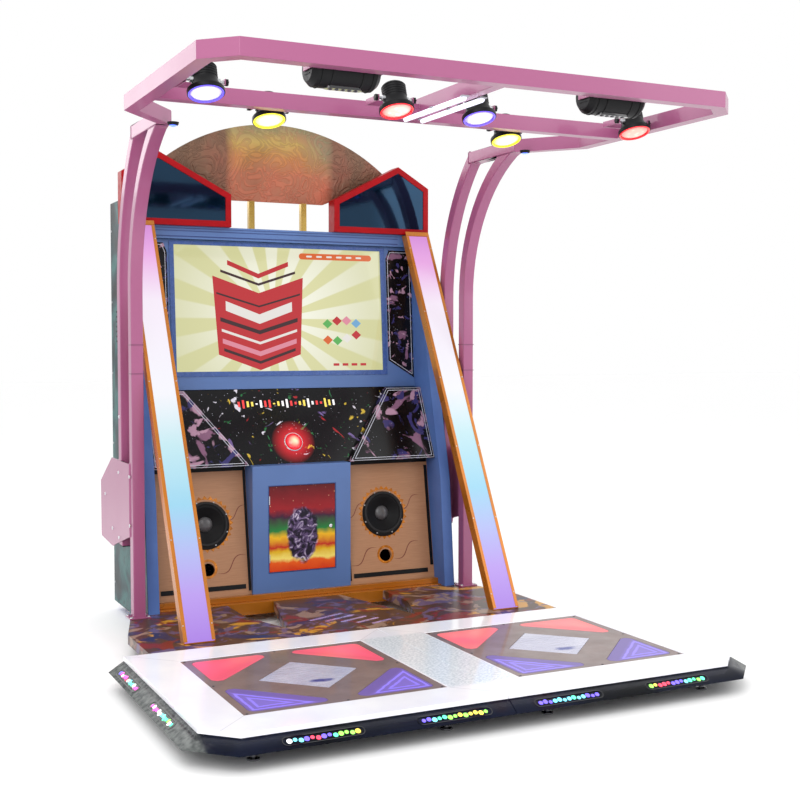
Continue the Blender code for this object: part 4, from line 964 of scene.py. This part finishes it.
def make_speakers():
    """Speaker boards with their rings, strips and strokes, and the woofers."""
    cad(pair("speaker_panel"), kraft_look(), 0.0012)
    trim_with_painted_glow = Look("ring_trim_painted_glow", rgb(190, 112, 30), 0.22, 0.4)
    # painted light: an orange glow on the trim rings, which hold no lamp
    trim_with_painted_glow.give(emission_color=rgb(255, 140, 30), emission_strength=0.12)
    trim_with_painted_glow.worn(rgb(205, 128, 40), 0.25, scale=60, shade=0.35)
    ornament, strips, flourish = Shape(), Shape(), Shape()
    for word, side in SIDES:
        at, (near, far, tall) = face_of(f"speaker_panel_{word}", -AHEAD)
        low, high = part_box(f"woofer_{word}")
        centre = at.inverted() @ ((low + high) / 2)
        make_woofer(word, spot(at, centre.x, centre.y), (high.x - low.x) / 2)
        points = []
        for i in range(4 * TEETH):
            radius, turn = 0.139 + 0.009 * math.cos(math.tau * i / 4), math.tau * i / (4 * TEETH)
            points.append((centre.x + radius * math.cos(turn), centre.y + radius * math.sin(turn)))
        ornament.band(points, circle(centre.x, centre.y, 0.1275, 4 * TEETH), SIT, 0.0016, at)
        port = [circle(centre.x, centre.y - PORT_DROP, radius, 32) for radius in (0.050, 0.0375)]
        ornament.band(*port, SIT, 0.0016, at)
        inner_x, outer_x = (near, far) if side > 0 else (far, near)
        for start, end, foot, head in (
            (inner_x + side * 0.030, outer_x - side * 0.040, 0.052, 0.076),
            (outer_x - side * 0.022, outer_x - side * 0.004, 0.090, tall * 0.93),
            (inner_x + side * 0.002, inner_x + side * 0.016, 0.040, tall * 0.96),
            (near + 0.004, far - 0.004, tall - 0.030, tall - 0.006),
        ):
            strips.slab(rectangle(min(start, end), foot, max(start, end), head), SIT, 0.0030, at)
        for x, y, size in SWASHES:
            swash(flourish, spot(at, centre.x + x, centre.y + y, 0), size)
    ornament.piece("speaker_ornaments", trim_with_painted_glow, "gold_trim")
    strips.piece("speaker_strips", BLACK_PLASTIC, "woofer_black", bevel=0.0008)
    ink = plastic("flourish_ink", rgb(120, 52, 34), 0.4)
    flourish.piece("speaker_flourishes", ink, "speaker_board")


def swash(shape, at, size):
    """A thin S-shaped stroke, widest in its middle."""
    steps, upper, lower = 14, [], []
    for i in range(steps + 1):
        t = i / steps * 2 - 1
        x, y = 0.075 * size * t, 0.018 * size * math.sin(math.pi * t)
        width = 0.0022 * size * (1 - t * t) + 0.0004
        upper.append((x, y + width))
        lower.append((x, y - width))
    shape.slab(lower + upper[::-1], SIT, SIT + PRINT, at @ Matrix.Rotation(0.5, 4, "Z"))


def make_woofer(word, at, radius):
    """Basket rim, rubber surround, ribbed cone and dust cap, in the CAD driver's place."""
    name = f"woofer_{word}"
    cad([name], MATT_BLACK, 0.0008)
    rim_z = 0.0085
    surround = Shape().ring(radius * 0.87, radius * 0.062, 48, spot(at, 0, 0, rim_z - 0.001), 12)
    surround.piece(f"woofer_surround_{word}", RUBBER, "woofer_black")
    cone = Shape()
    for k, share in enumerate((0.72, 0.60, 0.48)):
        cone.ring(radius * share, 0.0012, 40, spot(at, 0, 0, rim_z - 0.012 - 0.0065 * k), 6)
    cone.piece(f"woofer_ribs_{word}", MATT_BLACK, "woofer_black")
    cap_radius = radius * 0.33
    turns = [math.pi / 2 * i / 8 for i in range(9)]
    profile = [(cap_radius * math.sin(a), rim_z - 0.030 + 0.020 * math.cos(a)) for a in turns]
    cap = Shape().lathe([*profile, (0, rim_z - 0.032)], 36, at)
    dust = plastic("dust_cap", rgb(74, 72, 74), 0.35, coat_weight=0.3)
    cap.piece(f"woofer_cap_{word}", dust, "woofer_black")
    spots = []
    for k in range(8):
        a = math.tau * (k + 0.5) / 8
        spots.append(spot(at, radius * 0.955 * math.cos(a), radius * 0.955 * math.sin(a), rim_z - 0.0012))
    screws(f"woofer_screws_{word}", spots, ZINC, radius=0.0042)


# ---------------------------------------------------------------- cash cabinet
def door_look():
    """Abstract poster: a warm night above, colour bands below, round a dark oval."""
    low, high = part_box("coin_door")
    look = Look("door_print", rgb(120, 30, 30), 0.26, specular_ior_level=0.25)
    x, _, z = look.axes()
    share = look.share(z, low.z, high.z)
    wobble = look.wander(share, look.noise(22, 3), 0.10)
    bands = look.ramp(
        wobble, (0.0, rgb(214, 62, 22)), (0.10, rgb(230, 92, 28)), (0.14, rgb(244, 222, 112)),
        (0.24, rgb(222, 178, 30)), (0.29, rgb(190, 26, 28)), (0.40, rgb(234, 182, 34)),
        (0.48, rgb(34, 126, 58)), (0.64, rgb(60, 26, 52)), (0.72, rgb(150, 26, 34)), (1.0, rgb(88, 12, 20)),
    )
    middle = (low + high) / 2 - UP * 0.035
    across = look.times(look.gap(x, middle.x), 1.65)
    along = look.minus(z, middle.z)
    oval = look.hypot(across, along)
    oval = look.plus(oval, look.times(look.noise(26, 3), 0.06))
    night = look.noise(28, 4, 1.2)
    night = look.ramp(night, (0.42, rgb(22, 16, 34)), (0.55, rgb(96, 76, 118)), (0.66, rgb(206, 196, 214)))
    poster = look.blend(look.ramp(oval, (0.165, 1.0), (0.185, 0.0)), bands, night)
    stars = look.times(look.dots(40, 0.16), look.ramp(share, (0.66, 0.0), (0.72, 1.0)))
    look.give(base_color=look.blend(stars, poster, rgb(236, 190, 150)))
    return look


def make_cash_cabinet():
    """Coin door with its frame, lock and hinges, and the cash box."""
    cad(["coin_door"], door_look(), 0.0010)
    cad(["cash_box"], ZINC, 0.0006)
    low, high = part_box("coin_door")
    at = place(Vector((0, low.y, low.z)), RIGHT, UP)
    tall, half = high.z - low.z, high.x
    outer, inner = (rectangle(-half - far, -far, half + far, tall + far) for far in (0.006, 0.0022))
    frame_strip = Shape().band(outer, inner, SIT, 0.0016, at)
    frame_strip.piece("door_surround", plastic("door_surround", rgb(52, 78, 138), 0.3), "blue_laminate")
    lock = spot(at, half - 0.026, tall * 0.5)
    make_lock("coin_lock", lock, "coin_door")
    hinge = Shape()
    for share in (0.16, 0.84):
        knuckle = Matrix.Translation((low.x - 0.0001, low.y - 0.0022, low.z + tall * share - 0.022))
        hinge.lathe(knuckle_profile(0.044), 14, knuckle)
    hinge.piece("coin_door_hinges", ZINC, "plain_steel")


def make_lock(name, at, body, radius=0.0105):
    """A cam lock: a chromed barrel with a dark keyway."""
    barrel = [
        (0, 0.0030), (radius * 0.66, 0.0030), (radius * 0.72, 0.0044), (radius * 0.92, 0.0040),
        (radius, 0.0022), (radius, 0.0), (0, 0.0),
    ]
    Shape().lathe(barrel, 28, at).piece(name, CHROME, "plain_steel", body)
    keyway = Shape().slab(capsule(0, 0, 0.0075, 0.0018), 0.0030, 0.0034, at)
    keyway.piece(name + "_keyway", MATT_BLACK, "woofer_black", body)


# ---------------------------------------------------------------- light columns
def diffuser_look():
    """Milky diffuser, lit violet at the foot, through cyan and white, to pink at the head."""
    look = Look("diffuser", rgb(70, 66, 80), 0.30, coat_weight=0.2)
    low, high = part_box("diffuser_left")
    _, _, z = look.axes()
    share = look.share(z, low.z, high.z)
    colour = look.ramp(
        share, (0.0, rgb(168, 116, 232)), (0.10, rgb(186, 150, 242)), (0.20, rgb(176, 190, 246)),
        (0.30, rgb(150, 220, 244)), (0.44, rgb(196, 240, 244)), (0.56, rgb(250, 252, 255)),
        (0.80, rgb(252, 240, 252)), (0.92, rgb(240, 170, 232)), (1.0, rgb(214, 128, 214)),
    )
    look.give(emission_color=colour, emission_strength=0.86)
    return look


def make_columns():
    """The sloping light columns and their covers."""
    cad(pair("light_column"), GOLD, 0.0012)
    cad(pair("diffuser"), diffuser_look(), 0.0008)
    lips, caps, spots = Shape(), Shape(), []
    for word, _ in SIDES:
        at, (near, far, tall) = face_of(f"diffuser_{word}", -AHEAD)
        for edge, way in ((near - 0.0040, 1), (far + 0.0040, -1)):
            low_x, high_x = sorted((edge, edge + way * 0.017))
            lips.slab(rectangle(low_x, 0.004, high_x, tall - 0.002), SIT, 0.0022, at)
        caps.slab(rectangle(near - 0.004, tall + 0.002, far + 0.004, tall + 0.028), SIT, 0.0022, at)
        for x in (near + 0.002, far - 0.002):
            for k in range(6):
                spots.append(spot(at, x, 0.08 + k * (tall - 0.16) / 5, 0.0022))
    lips.piece("column_lips", GOLD, "gold_channel", bevel=0.0006)
    caps.piece("column_caps", GOLD, "gold_channel", bevel=0.0006)
    screws("column_screws", spots, ZINC, radius=0.0032, height=0.0014)


# ---------------------------------------------------------------- tube frames and canopy
TUBE_HALF = 0.030
TUBE_CENTRE = 0.917          # of both tubes of a pair, out from the middle
TUBE_PITCH = 0.225           # from the front tube to the rear one
SNUG = 0.0003                # gap round a tube


def square(x, y, half):
    return rectangle(x - half, y - half, x + half, y + half)


def make_tubes():
    """The bent tubes with their seams, flanges, caps and bolts, and the canopy."""
    cad(pair("tube_frame"), PINK, 0.0050)
    cad(["canopy_frame"], PINK, 0.0012)
    sleeves, spots, glides, flanges = Shape(), [], Shape(), Shape()
    low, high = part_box("tube_frame_right")
    rail_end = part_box("canopy_frame")[1].y
    front_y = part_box("side_panel_right")[0].y - 0.025
    rear_y = front_y + TUBE_PITCH
    for _, side in SIDES:
        centre = side * TUBE_CENTRE
        for z in (1.300, 1.440):
            outer, inner = (square(centre, front_y, TUBE_HALF + gap) for gap in (0.0015, SNUG))
            sleeves.band(outer, inner, z, z + 0.004)
        foot = Matrix.Translation((centre, front_y, low.z))
        plate = rectangle(-0.052, -0.045, 0.052, 0.045)
        flanges.band(plate, square(0, 0, TUBE_HALF + SNUG), 0.0002, 0.0062, foot)
        for x, y in square(0, 0, 1):
            spots.append(spot(foot, x * 0.042, y * 0.036, 0.0064))
        bottom = Matrix.Translation((centre, rear_y, 0.430))
        glides.slab(square(0, 0, TUBE_HALF - 0.0015), -0.004, -0.0002, bottom)
        outside = place(Vector((side * 0.9532, 0, 0)), AHEAD * side, UP)
        for y, z in (
            (front_y, 0.56), (front_y, 0.80), (rear_y, 0.47),
            (rear_y, 0.80), (rear_y + 0.14, 0.50), (rear_y + 0.30, 0.66),
        ):
            spots.append(spot(outside, y * side, z, 0.0003))
        for z in (0.772, 1.080):
            spots.append(spot(outside, rear_y * side, z, -0.0060))
        for step in (0.030, 0.075, 0.190, 0.255):
            spots.append(Matrix.Translation((centre, rail_end + step, high.z + SIT)))
    sleeves.piece("tube_sleeve_seams", paint("seam", rgb(120, 60, 96), 0.4), "pink_paint")
    flanges.piece("tube_flanges", PINK, "pink_paint", bevel=0.001)
    glides.piece("tube_caps", BLACK_PLASTIC, "woofer_black", bevel=0.001)
    screws("tube_bolts", spots, CHROME, radius=0.0085, height=0.0050)
    make_canopy_lights()


def make_canopy_lights():
    """White light tubes beside the spine, their clips, a small blue light at each rear corner, and dark
    strips of painted shade on the front bar's inner face.
    """
    low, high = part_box("canopy_frame")
    bar = 0.060
    start, end = low.y + bar + 0.19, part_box("lamp_inner_left")[0].y + 0.30
    length = end - start
    rod = [(0, 0.0), (0.009, 0.0), (0.0105, 0.004), (0.0105, length - 0.004), (0.009, length), (0, length)]
    cool = glowing("cool_tube", rgb(236, 238, 255), 1.2)
    tubes, clips = Shape(), Shape()
    for side in (-1, 1):
        x, z = side * 0.040, low.z - 0.010
        tubes.lathe(rod, 20, place(Vector((x, start, z)), RIGHT, -UP))
        for y in (start, start + length / 2, end):
            clips.box((x - 0.016, y - 0.010, z + 0.004), (x + 0.016, y + 0.010, low.z - 0.0003))
    tubes.piece("canopy_tubes", cool, "diffuser")
    grey = plastic("grey_clip", rgb(170, 172, 178), 0.4)
    clips.piece("canopy_tube_clips", grey, "plain_steel", bevel=0.001)
    pods, lenses = Shape(), Shape()
    for side in (-1, 1):
        at = Matrix.Translation((side * 0.9, high.y - 0.075, low.z - SIT)) @ Matrix.Rotation(math.pi, 4, "X")
        pods.lathe([(0, 0.014), (0.020, 0.014), (0.024, 0.010), (0.026, 0.0), (0, 0.0)], 28, at)
        lenses.lathe([(0, 0.0195), (0.008, 0.0190), (0.015, 0.0160), (0.017, 0.0142), (0, 0.0142)], 28, at)
    pods.piece("corner_light_pods", BLACK_PLASTIC, "lamp_black")
    lenses.piece("corner_light_lenses", glowing("blue_lens", rgb(90, 120, 255), 3.0), "diffuser")
    # painted shade: a dark sheet on the front bar's inner face, which stands in shadow
    inner = Shape()
    for side in (-1, 1):
        low_x, high_x = sorted((side * 0.032, side * 1.000))
        at = place(Vector((0, low.y + bar + 0.0002, low.z)), -RIGHT, UP)
        inner.slab(rectangle(-high_x, 0.012, -low_x, 0.050), SIT, 0.0025, at)
    painted_shade_sheet = mirror_sheet("painted_shade_strip", rgb(30, 74, 82), 0.25, 0.4)
    inner.piece("canopy_painted_shade_strips", painted_shade_sheet, "pink_paint", bevel=0.0006)


LENSES = {                   # colour of each lamp in its middle and at its rim
    "lamp_outer_left": (rgb(236, 234, 255), rgb(88, 70, 230)),
    "lamp_middle_left": (rgb(255, 252, 206), rgb(226, 214, 40)),
    "lamp_inner_left": (rgb(255, 190, 176), rgb(232, 24, 36)),
    "lamp_inner_right": (rgb(222, 222, 255), rgb(96, 70, 226)),
    "lamp_middle_right": (rgb(255, 250, 190), rgb(224, 206, 36)),
    "lamp_outer_right": (rgb(255, 150, 134), rgb(228, 20, 34)),
}
CAN = (                      # radius and height of the lamp's turned can, from its back to its lens
    (0, 0.068), (0.018, 0.068), (0.020, 0.064), (0.040, 0.064), (0.047, 0.058), (0.0485, 0.050),
    (0.0485, 0.006), (0.0500, -0.006), (0.0545, -0.020), (0.0600, -0.032), (0.0700, -0.036), (0.0720, -0.040),
    (0.0720, -0.0535), (0.0700, -0.0550), (0.0640, -0.0550), (0.0620, -0.0490), (0, -0.0490),
)
LENS = ((0, -0.0588), (0.020, -0.0584), (0.040, -0.0568), (0.056, -0.0535), (0.0598, -0.0500), (0, -0.0500))
KNOB = ((0, 0.027), (0.006, 0.027), (0.006, 0.012), (0.012, 0.012), (0.013, 0.0), (0, 0.0))
LAMP_TIP = math.radians(18.0)


def lens_look(name, centre, core, edge):
    """A lit lens: pale in the middle, coloured at its rim, with its diodes showing."""
    look = Look(name, core, 0.10, coat_weight=0.8)
    away = look.distance(centre)
    look.give(emission_color=look.ramp(away, (0.036, core), (0.054, edge)))
    look.give(emission_strength=look.ramp(look.cells(46), (0.0, 2.2), (0.5, 1.0)))
    return look


def lobes(radius, count=6, steps=36):
    """The outline of a hand knob with rounded lobes."""
    turns = [math.tau * i / steps for i in range(steps)]
    reaches = [radius * (1 + 0.12 * math.cos(count * a)) for a in turns]
    return [(r * math.cos(a), r * math.sin(a)) for r, a in zip(reaches, turns)]


def make_lamps():
    """Finned cans on their pivots, each with a flared rim, knobs and a lit lens."""
    for name, (core, edge) in LENSES.items():
        joint = next(j for j in frame["joints"] if j["child"] == name)
        pivot = Vector(joint["pos_m"])
        at = Matrix.Translation(pivot) @ Matrix.Rotation(-LAMP_TIP, 4, "X")
        shape = Shape().lathe(CAN, 48, at)
        for k in range(5):
            shape.ring(0.0488, 0.0019, 40, spot(at, 0, 0, 0.052 - 0.0105 * k), 8)
        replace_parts(shape.piece(name + "_can", BLACK_PLASTIC, "lamp_black", name), name)
        knobs, grips = Shape(), Shape()
        for way in (-1, 1):
            knobs.lathe(KNOB, 18, place(pivot + RIGHT * way * 0.0470, AHEAD, UP * way))
            grips.slab(lobes(0.0125), 0.0, 0.012, place(pivot + RIGHT * way * 0.0795, AHEAD, UP * way))
        knobs.piece(name + "_trunnions", ZINC, "plain_steel", name)
        grips.piece(name + "_grips", BLACK_PLASTIC, "lamp_black", MACHINE, bevel=0.0015)
        rim = Shape().ring(0.0640, 0.0045, 48, spot(at, 0, 0, -0.0538), 10)
        rim.piece(name + "_rim", glowing(name + "_rim", edge, 1.6), "diffuser", name)
        look = lens_look(name + "_lens", at @ Vector((0, 0, -0.055)), core, edge)
        Shape().lathe(LENS, 48, at).piece(name + "_lens", look, "diffuser", name)
    make_effect_lights()


def make_effect_lights():
    """Black drum lights: the CAD drum, ribs, end plates with vents and a row of lenses."""
    cad(pair("effect_light"), BLACK_PLASTIC, 0.0020)
    glass = Look("effect_glass", rgb(16, 18, 26), 0.04, coat_weight=1.0)
    glass.worn(rgb(20, 22, 34), 0.05, spread=0.02, scale=80)
    for name in pair("effect_light"):
        low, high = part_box(name)
        centre = (low + high) / 2
        at = place(centre, AHEAD, UP)
        ribs = Shape()
        for step in (-0.100, -0.060, 0.060, 0.100):
            ribs.ring(0.0702, 0.0022, 40, spot(at, 0, 0, step), 8)
        for way in (-1, 1):
            end = place(centre + RIGHT * way * (high.x - centre.x), AHEAD, UP * way)
            for k in range(-2, 3):
                ribs.slab(capsule(0, 0.012 * k, 0.060 - 0.006 * abs(k), 0.0040), SIT, 0.0014, end)
        ribs.piece(name + "_ribs", MATT_BLACK, "lamp_black", name)
        bed = place(centre + Vector((0, -0.010, -0.0665)), RIGHT, -AHEAD)
        tray = Shape().slab(capsule(0, 0, 0.150, 0.040), -0.006, 0.0062, bed)
        tray.piece(name + "_bed", GLOSS_BLACK, "lamp_black", name, bevel=0.001)
        lenses = Shape()
        for k in range(5):
            dome = [(0, 0.0100), (0.005, 0.0096), (0.0088, 0.0078), (0.0100, 0.0060), (0, 0.0060)]
            lenses.lathe(dome, 20, spot(bed, -0.050 + 0.025 * k, 0, 0.0))
        lenses.piece(name + "_lenses", glass, "lamp_black", name)


# ---------------------------------------------------------------- signs
def sign_outline(side):
    """The sign box's face, counter-clockwise as the player sees it."""
    low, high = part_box("sign_box_right")
    vertices = [v.co for v in frame["nodes"]["sign_box_right"].data.vertices]
    peak_x = next(v.x for v in vertices if abs(v.z - high.z) < 1e-4)
    inner_z = max(v.z for v in vertices if abs(v.x - low.x) < 1e-4)
    outer_z = max(v.z for v in vertices if abs(v.x - high.x) < 1e-4)
    corners = [(low.x, low.z), (high.x, low.z), (high.x, outer_z), (peak_x, high.z), (low.x, inner_z)]
    return [(side * x, z) for x, z in corners][::side]


def make_signs():
    """The two side signs, and the dome with its posts."""
    cad(pair("sign_box"), RED_EDGE, 0.0020)
    night = mirror_sheet("sign_mirror", rgb(14, 50, 76), 0.05, 0.9, scale=2.5)
    faces, lips, brackets = Shape(), Shape(), Shape()
    for word, side in SIDES:
        low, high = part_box(f"sign_box_{word}")
        at = place(Vector((0, low.y, 0)), RIGHT, UP)
        corners = sign_outline(side)
        faces.slab(inset(corners, 0.030), SIT, 0.0008, at)
        lips.band(inset(corners, 0.0005), inset(corners, 0.032), SIT, 0.0060, at)
        for x in (low.x + 0.12, high.x - 0.12):
            left, right, foot, bend = x - 0.018, x + 0.018, low.z + 0.0003, high.y + 0.0035
            brackets.box((left, high.y + SIT, foot), (right, bend, low.z + 0.055))
            brackets.box((left, bend, foot), (right, high.y + 0.032, low.z + 0.0035))
    faces.piece("sign_faces", night, "sign_red")
    lips.piece("sign_rims", RED_EDGE, "sign_red", bevel=0.0015)
    brackets.piece("sign_brackets", ZINC, "plain_steel", bevel=0.0006)
    cad(["sign_stand"], mirror_sheet("brass_post", rgb(212, 176, 88), 0.20, 0.85), 0.0010)
    make_dome()


def dome_look(low, high):
    """Bronze sheet with raised scrolls and a warm glow that turns green to one side."""
    look = Look("dome_bronze", rgb(140, 96, 80), 0.46, 0.20, specular_ior_level=0.4)
    x, _, z = look.axes()
    patches = look.noise(4.5, 5, 0.6)
    base = look.ramp(patches, (0.32, rgb(92, 72, 54)), (0.50, rgb(116, 84, 64)), (0.68, rgb(132, 80, 62)))
    share = look.share(z, low.z, high.z)
    across = look.over(look.minus(x, 0.02), 0.34)
    fade = look.calc("POWER", look.size(across), 4)
    fade = look.plus(fade, look.times(look.noise(9, 4), 0.35))
    inside = look.ramp(fade, (0.55, 1.0), (0.95, 0.0))
    shift = look.wander(share, look.noise(6, 4), 0.25)
    warm = look.ramp(
        shift, (0.05, rgb(206, 96, 72)), (0.35, rgb(224, 112, 76)), (0.55, rgb(226, 146, 56)),
        (0.74, rgb(220, 196, 84)), (0.95, rgb(140, 160, 106)),
    )
    side = look.ramp(look.times(across, shift), (0.20, 0.0), (0.55, 1.0))
    green = look.blend(side, warm, rgb(96, 150, 112))
    curls = look.noise(6.5, 1, 2.4)
    leaf = look.ramp(
        curls, (0.34, 0.0), (0.37, 1.0), (0.41, 1.0), (0.43, 0.0), (0.50, 0.0),
        (0.52, 1.0), (0.57, 1.0), (0.59, 0.0), (0.66, 0.0), (0.68, 1.0),
    )
    strength = look.times(inside, look.plus(0.32, look.times(leaf, 0.14)))
    look.give(emission_color=green, emission_strength=strength)
    look.give(base_color=look.blend(look.times(leaf, 0.22), base, rgb(92, 62, 50)))
    relief = look.plus(leaf, look.times(look.noise(26, 5, 1.5), 0.4))
    return look.bump(relief, 0.0040, 0.9)


DOME_FLAT = 0.275            # half of the dome sign's straight foot
DOME_SHOULDER = 2.410        # where its arc starts


def make_dome():
    """A bulged bronze shield with a rolled edge, in the CAD sign's outline."""
    low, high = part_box("dome_sign")
    half, flat = high.x, DOME_FLAT
    rise = high.z - DOME_SHOULDER
    radius = (half * half + rise * rise) / (2 * rise)
    sweep, steps = math.asin(half / radius), 48
    turns = [sweep * (1 - 2 * i / steps) for i in range(steps + 1)]
    top = [(radius * math.sin(a), high.z - radius + radius * math.cos(a)) for a in turns]
    foot = [(-flat - 0.030, low.z + 0.012), (-flat, low.z), (flat, low.z), (flat + 0.030, low.z + 0.012)]
    outline = top + foot
    centre = Vector((0, high.y, (low.z + high.z) / 2 + 0.01))
    shape, layers = Shape(), []
    bulge, rings = high.y - low.y - 0.012, 10
    for ring in range(rings):
        share = 1 - ring / rings
        depth = high.y - 0.008 - bulge * math.cos(share * math.pi / 2) ** 0.8
        places = [(x * share, depth, centre.z + (z - centre.z) * share) for x, z in outline]
        layers.append(shape.points(places))
    back = shape.points([(x, high.y, z) for x, z in outline])
    shape.close([back, *layers])
    shape.mesh.faces.new(back)
    shape.mesh.faces.new(layers[-1])
    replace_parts(shape.piece("dome_shield", dome_look(low, high), "dome_bronze"), "dome_sign")


# ---------------------------------------------------------------- rear, flanks and inside
def make_rear():
    """Service door fittings, vents, power inlet and the screws that hold the panels."""
    low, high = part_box("rear_door")
    at = place(Vector((0, high.y, 0)), -RIGHT, UP)
    lock_x, handle_x = -high.x + 0.035, -high.x + 0.075
    for name, z in (("rear_lock", 0.70), ("rear_lock_low", 0.36)):
        make_lock(name, spot(at, lock_x, z), "rear_door", 0.013)
    louvres = Shape()
    for k in range(9):
        louvres.slab(capsule(0, 0.800 + 0.022 * k, 0.360, 0.011), SIT, 0.0045, at)
    louvres.piece("rear_door_louvres", MATT_BLACK, "black_board", "rear_door", bevel=0.0015)
    handle = Shape()
    for z in (0.478, 0.562):
        handle.lathe([(0, 0.020), (0.006, 0.020), (0.007, 0.0), (0, 0.0)], 16, spot(at, handle_x, z))
    grip = spot(at, handle_x, 0.520, 0.020)
    handle.slab(capsule(0, 0, 0.110, 0.018), -0.004, 0.005, grip @ Matrix.Rotation(math.pi / 2, 4, "Z"))
    handle.piece("rear_door_handle", CHROME, "plain_steel", "rear_door", bevel=0.0015)
    hinges = Shape()
    for z in (0.38, 0.65, 0.92):
        knuckle = Matrix.Translation((low.x - 0.0001, high.y + 0.0022, z - 0.034))
        hinges.lathe(knuckle_profile(0.068), 16, knuckle)
    hinges.piece("rear_door_hinges", ZINC, "plain_steel")
    make_vent(at)
    make_inlet(at)
    spots = []
    panel_low, panel_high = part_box("back_panel")
    for z in [panel_low.z + 0.06 + k * (panel_high.z - panel_low.z - 0.12) / 6 for k in range(7)]:
        for x in (panel_low.x + 0.025, panel_high.x - 0.025):
            spots.append(spot(at, x, z))
    for x in (-0.45, -0.15, 0.15, 0.45):
        for z in (panel_low.z + 0.025, panel_high.z - 0.025):
            spots.append(spot(at, x, z))
    screws("rear_screws", spots, ZINC, radius=0.0060)


def make_vent(at):
    """Two round fan guards in the rear wall, above the door."""
    wires, plates = Shape(), Shape()
    for x in (-0.30, 0.30):
        here = spot(at, x, 1.42)
        plates.band(circle(0, 0, 0.088, 48), circle(0, 0, 0.078, 48), 0.0, 0.004, here)
        plates.slab(circle(0, 0, 0.0775, 48), 0.0, 0.0012, here)
        for radius in (0.022, 0.036, 0.050, 0.064, 0.076):
            wires.ring(radius, 0.0016, 48, spot(here, 0, 0, 0.0062), 8)
        for k in range(4):
            turn = here @ Matrix.Rotation(math.pi / 4 * k, 4, "Z")
            wires.slab(capsule(0, 0, 0.166, 0.0034), 0.0030, 0.0052, turn)
    plates.piece("fan_plates", MATT_BLACK, "black_board")
    wires.piece("fan_guards", CHROME, "plain_steel")


def make_inlet(at):
    """Power inlet with its switch, low on the rear wall."""
    x, z = -0.62, 0.24
    outer = rectangle(x - 0.034, z - 0.044, x + 0.034, z + 0.044)
    inner = rectangle(x - 0.026, z - 0.036, x + 0.026, z + 0.036)
    plate = Shape().band(outer, inner, SIT, 0.0040, at).slab(inner, SIT, 0.0012, at)
    plate.piece("power_inlet", BLACK_PLASTIC, "woofer_black", bevel=0.0006)
    pins = Shape()
    for dx, dz in ((-0.007, -0.016), (0.007, -0.016), (0.0, -0.024)):
        pins.box((x + dx - 0.0010, z + dz - 0.003, 0.0012), (x + dx + 0.0010, z + dz + 0.003, 0.0038), at)
    pins.piece("power_pins", CHROME, "plain_steel")
    rocker = Shape().box((x - 0.013, z + 0.010, 0.0012), (x + 0.013, z + 0.030, 0.0052), at)
    rocker.piece("power_switch", plastic("red_switch", rgb(170, 24, 24), 0.3), "red_button", bevel=0.001)


def make_flanks():
    """Round-ended vent slots on the cabinet's outer faces, and screws along them."""
    spots, vents = [], Shape()
    for word, side in SIDES:
        low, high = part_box(f"side_panel_{word}")
        at = place(Vector((side * max(abs(low.x), abs(high.x)), 0, 0)), AHEAD * side, UP)
        back = high.y * side
        for k in range(6):
            spots.append(spot(at, back - side * 0.022, 0.15 + k * 0.38))
        for row in range(7):
            vents.slab(capsule(back - side * 0.20, 1.46 + 0.026 * row, 0.150, 0.010), SIT, 0.0040, at)
    screws("flank_screws", spots, ZINC, radius=0.0058)
    vents.piece("flank_vents", MATT_BLACK, "woofer_black", bevel=0.0012)


def make_inside():
    """The computer and the amplifier behind the service door, with their sockets, grille and fins.

    Known fault: the row of sockets isn't on the computer. Its x isn't turned into the place's own, so the row
    hangs free on the other side of the machine's middle, level with the computer's rear."""
    cad(["computer_unit"], ZINC, 0.0015)
    cad(["amplifier"], MATT_BLACK, 0.0015)
    low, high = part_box("computer_unit")
    at = place(Vector((0, high.y, low.z)), -RIGHT, UP)
    sockets, grille = Shape(), Shape()
    for k in range(6):
        x = high.x + 0.030 + 0.040 * k
        sockets.slab(rectangle(x - 0.012, 0.030, x + 0.012, 0.048), SIT, 0.003, at)
    sockets.piece("computer_sockets", GLOSS_BLACK, "black_gloss")
    centre = (low.x + high.x) / 2
    for radius in (0.014, 0.026, 0.038):
        grille.ring(radius, 0.0014, 36, spot(at, -centre, 0.105, 0.003), 8)
    grille.piece("computer_fan_guard", CHROME, "plain_steel")
    low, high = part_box("amplifier")
    fins = Shape()
    for k in range(15):
        x = low.x + 0.030 + k * (high.x - low.x - 0.060) / 14
        fins.box((x - 0.0015, low.y + 0.02, high.z + SIT), (x + 0.0015, high.y - 0.02, high.z + 0.018))
    fins.piece("amplifier_fins", MATT_BLACK, "plain_steel", bevel=0.0005)


make_platform()
make_boards()
make_carcass()
make_screen()
make_controls()
make_speakers()
make_cash_cabinet()
make_columns()
make_tubes()
make_lamps()
make_signs()
make_rear()
make_flanks()
make_inside()
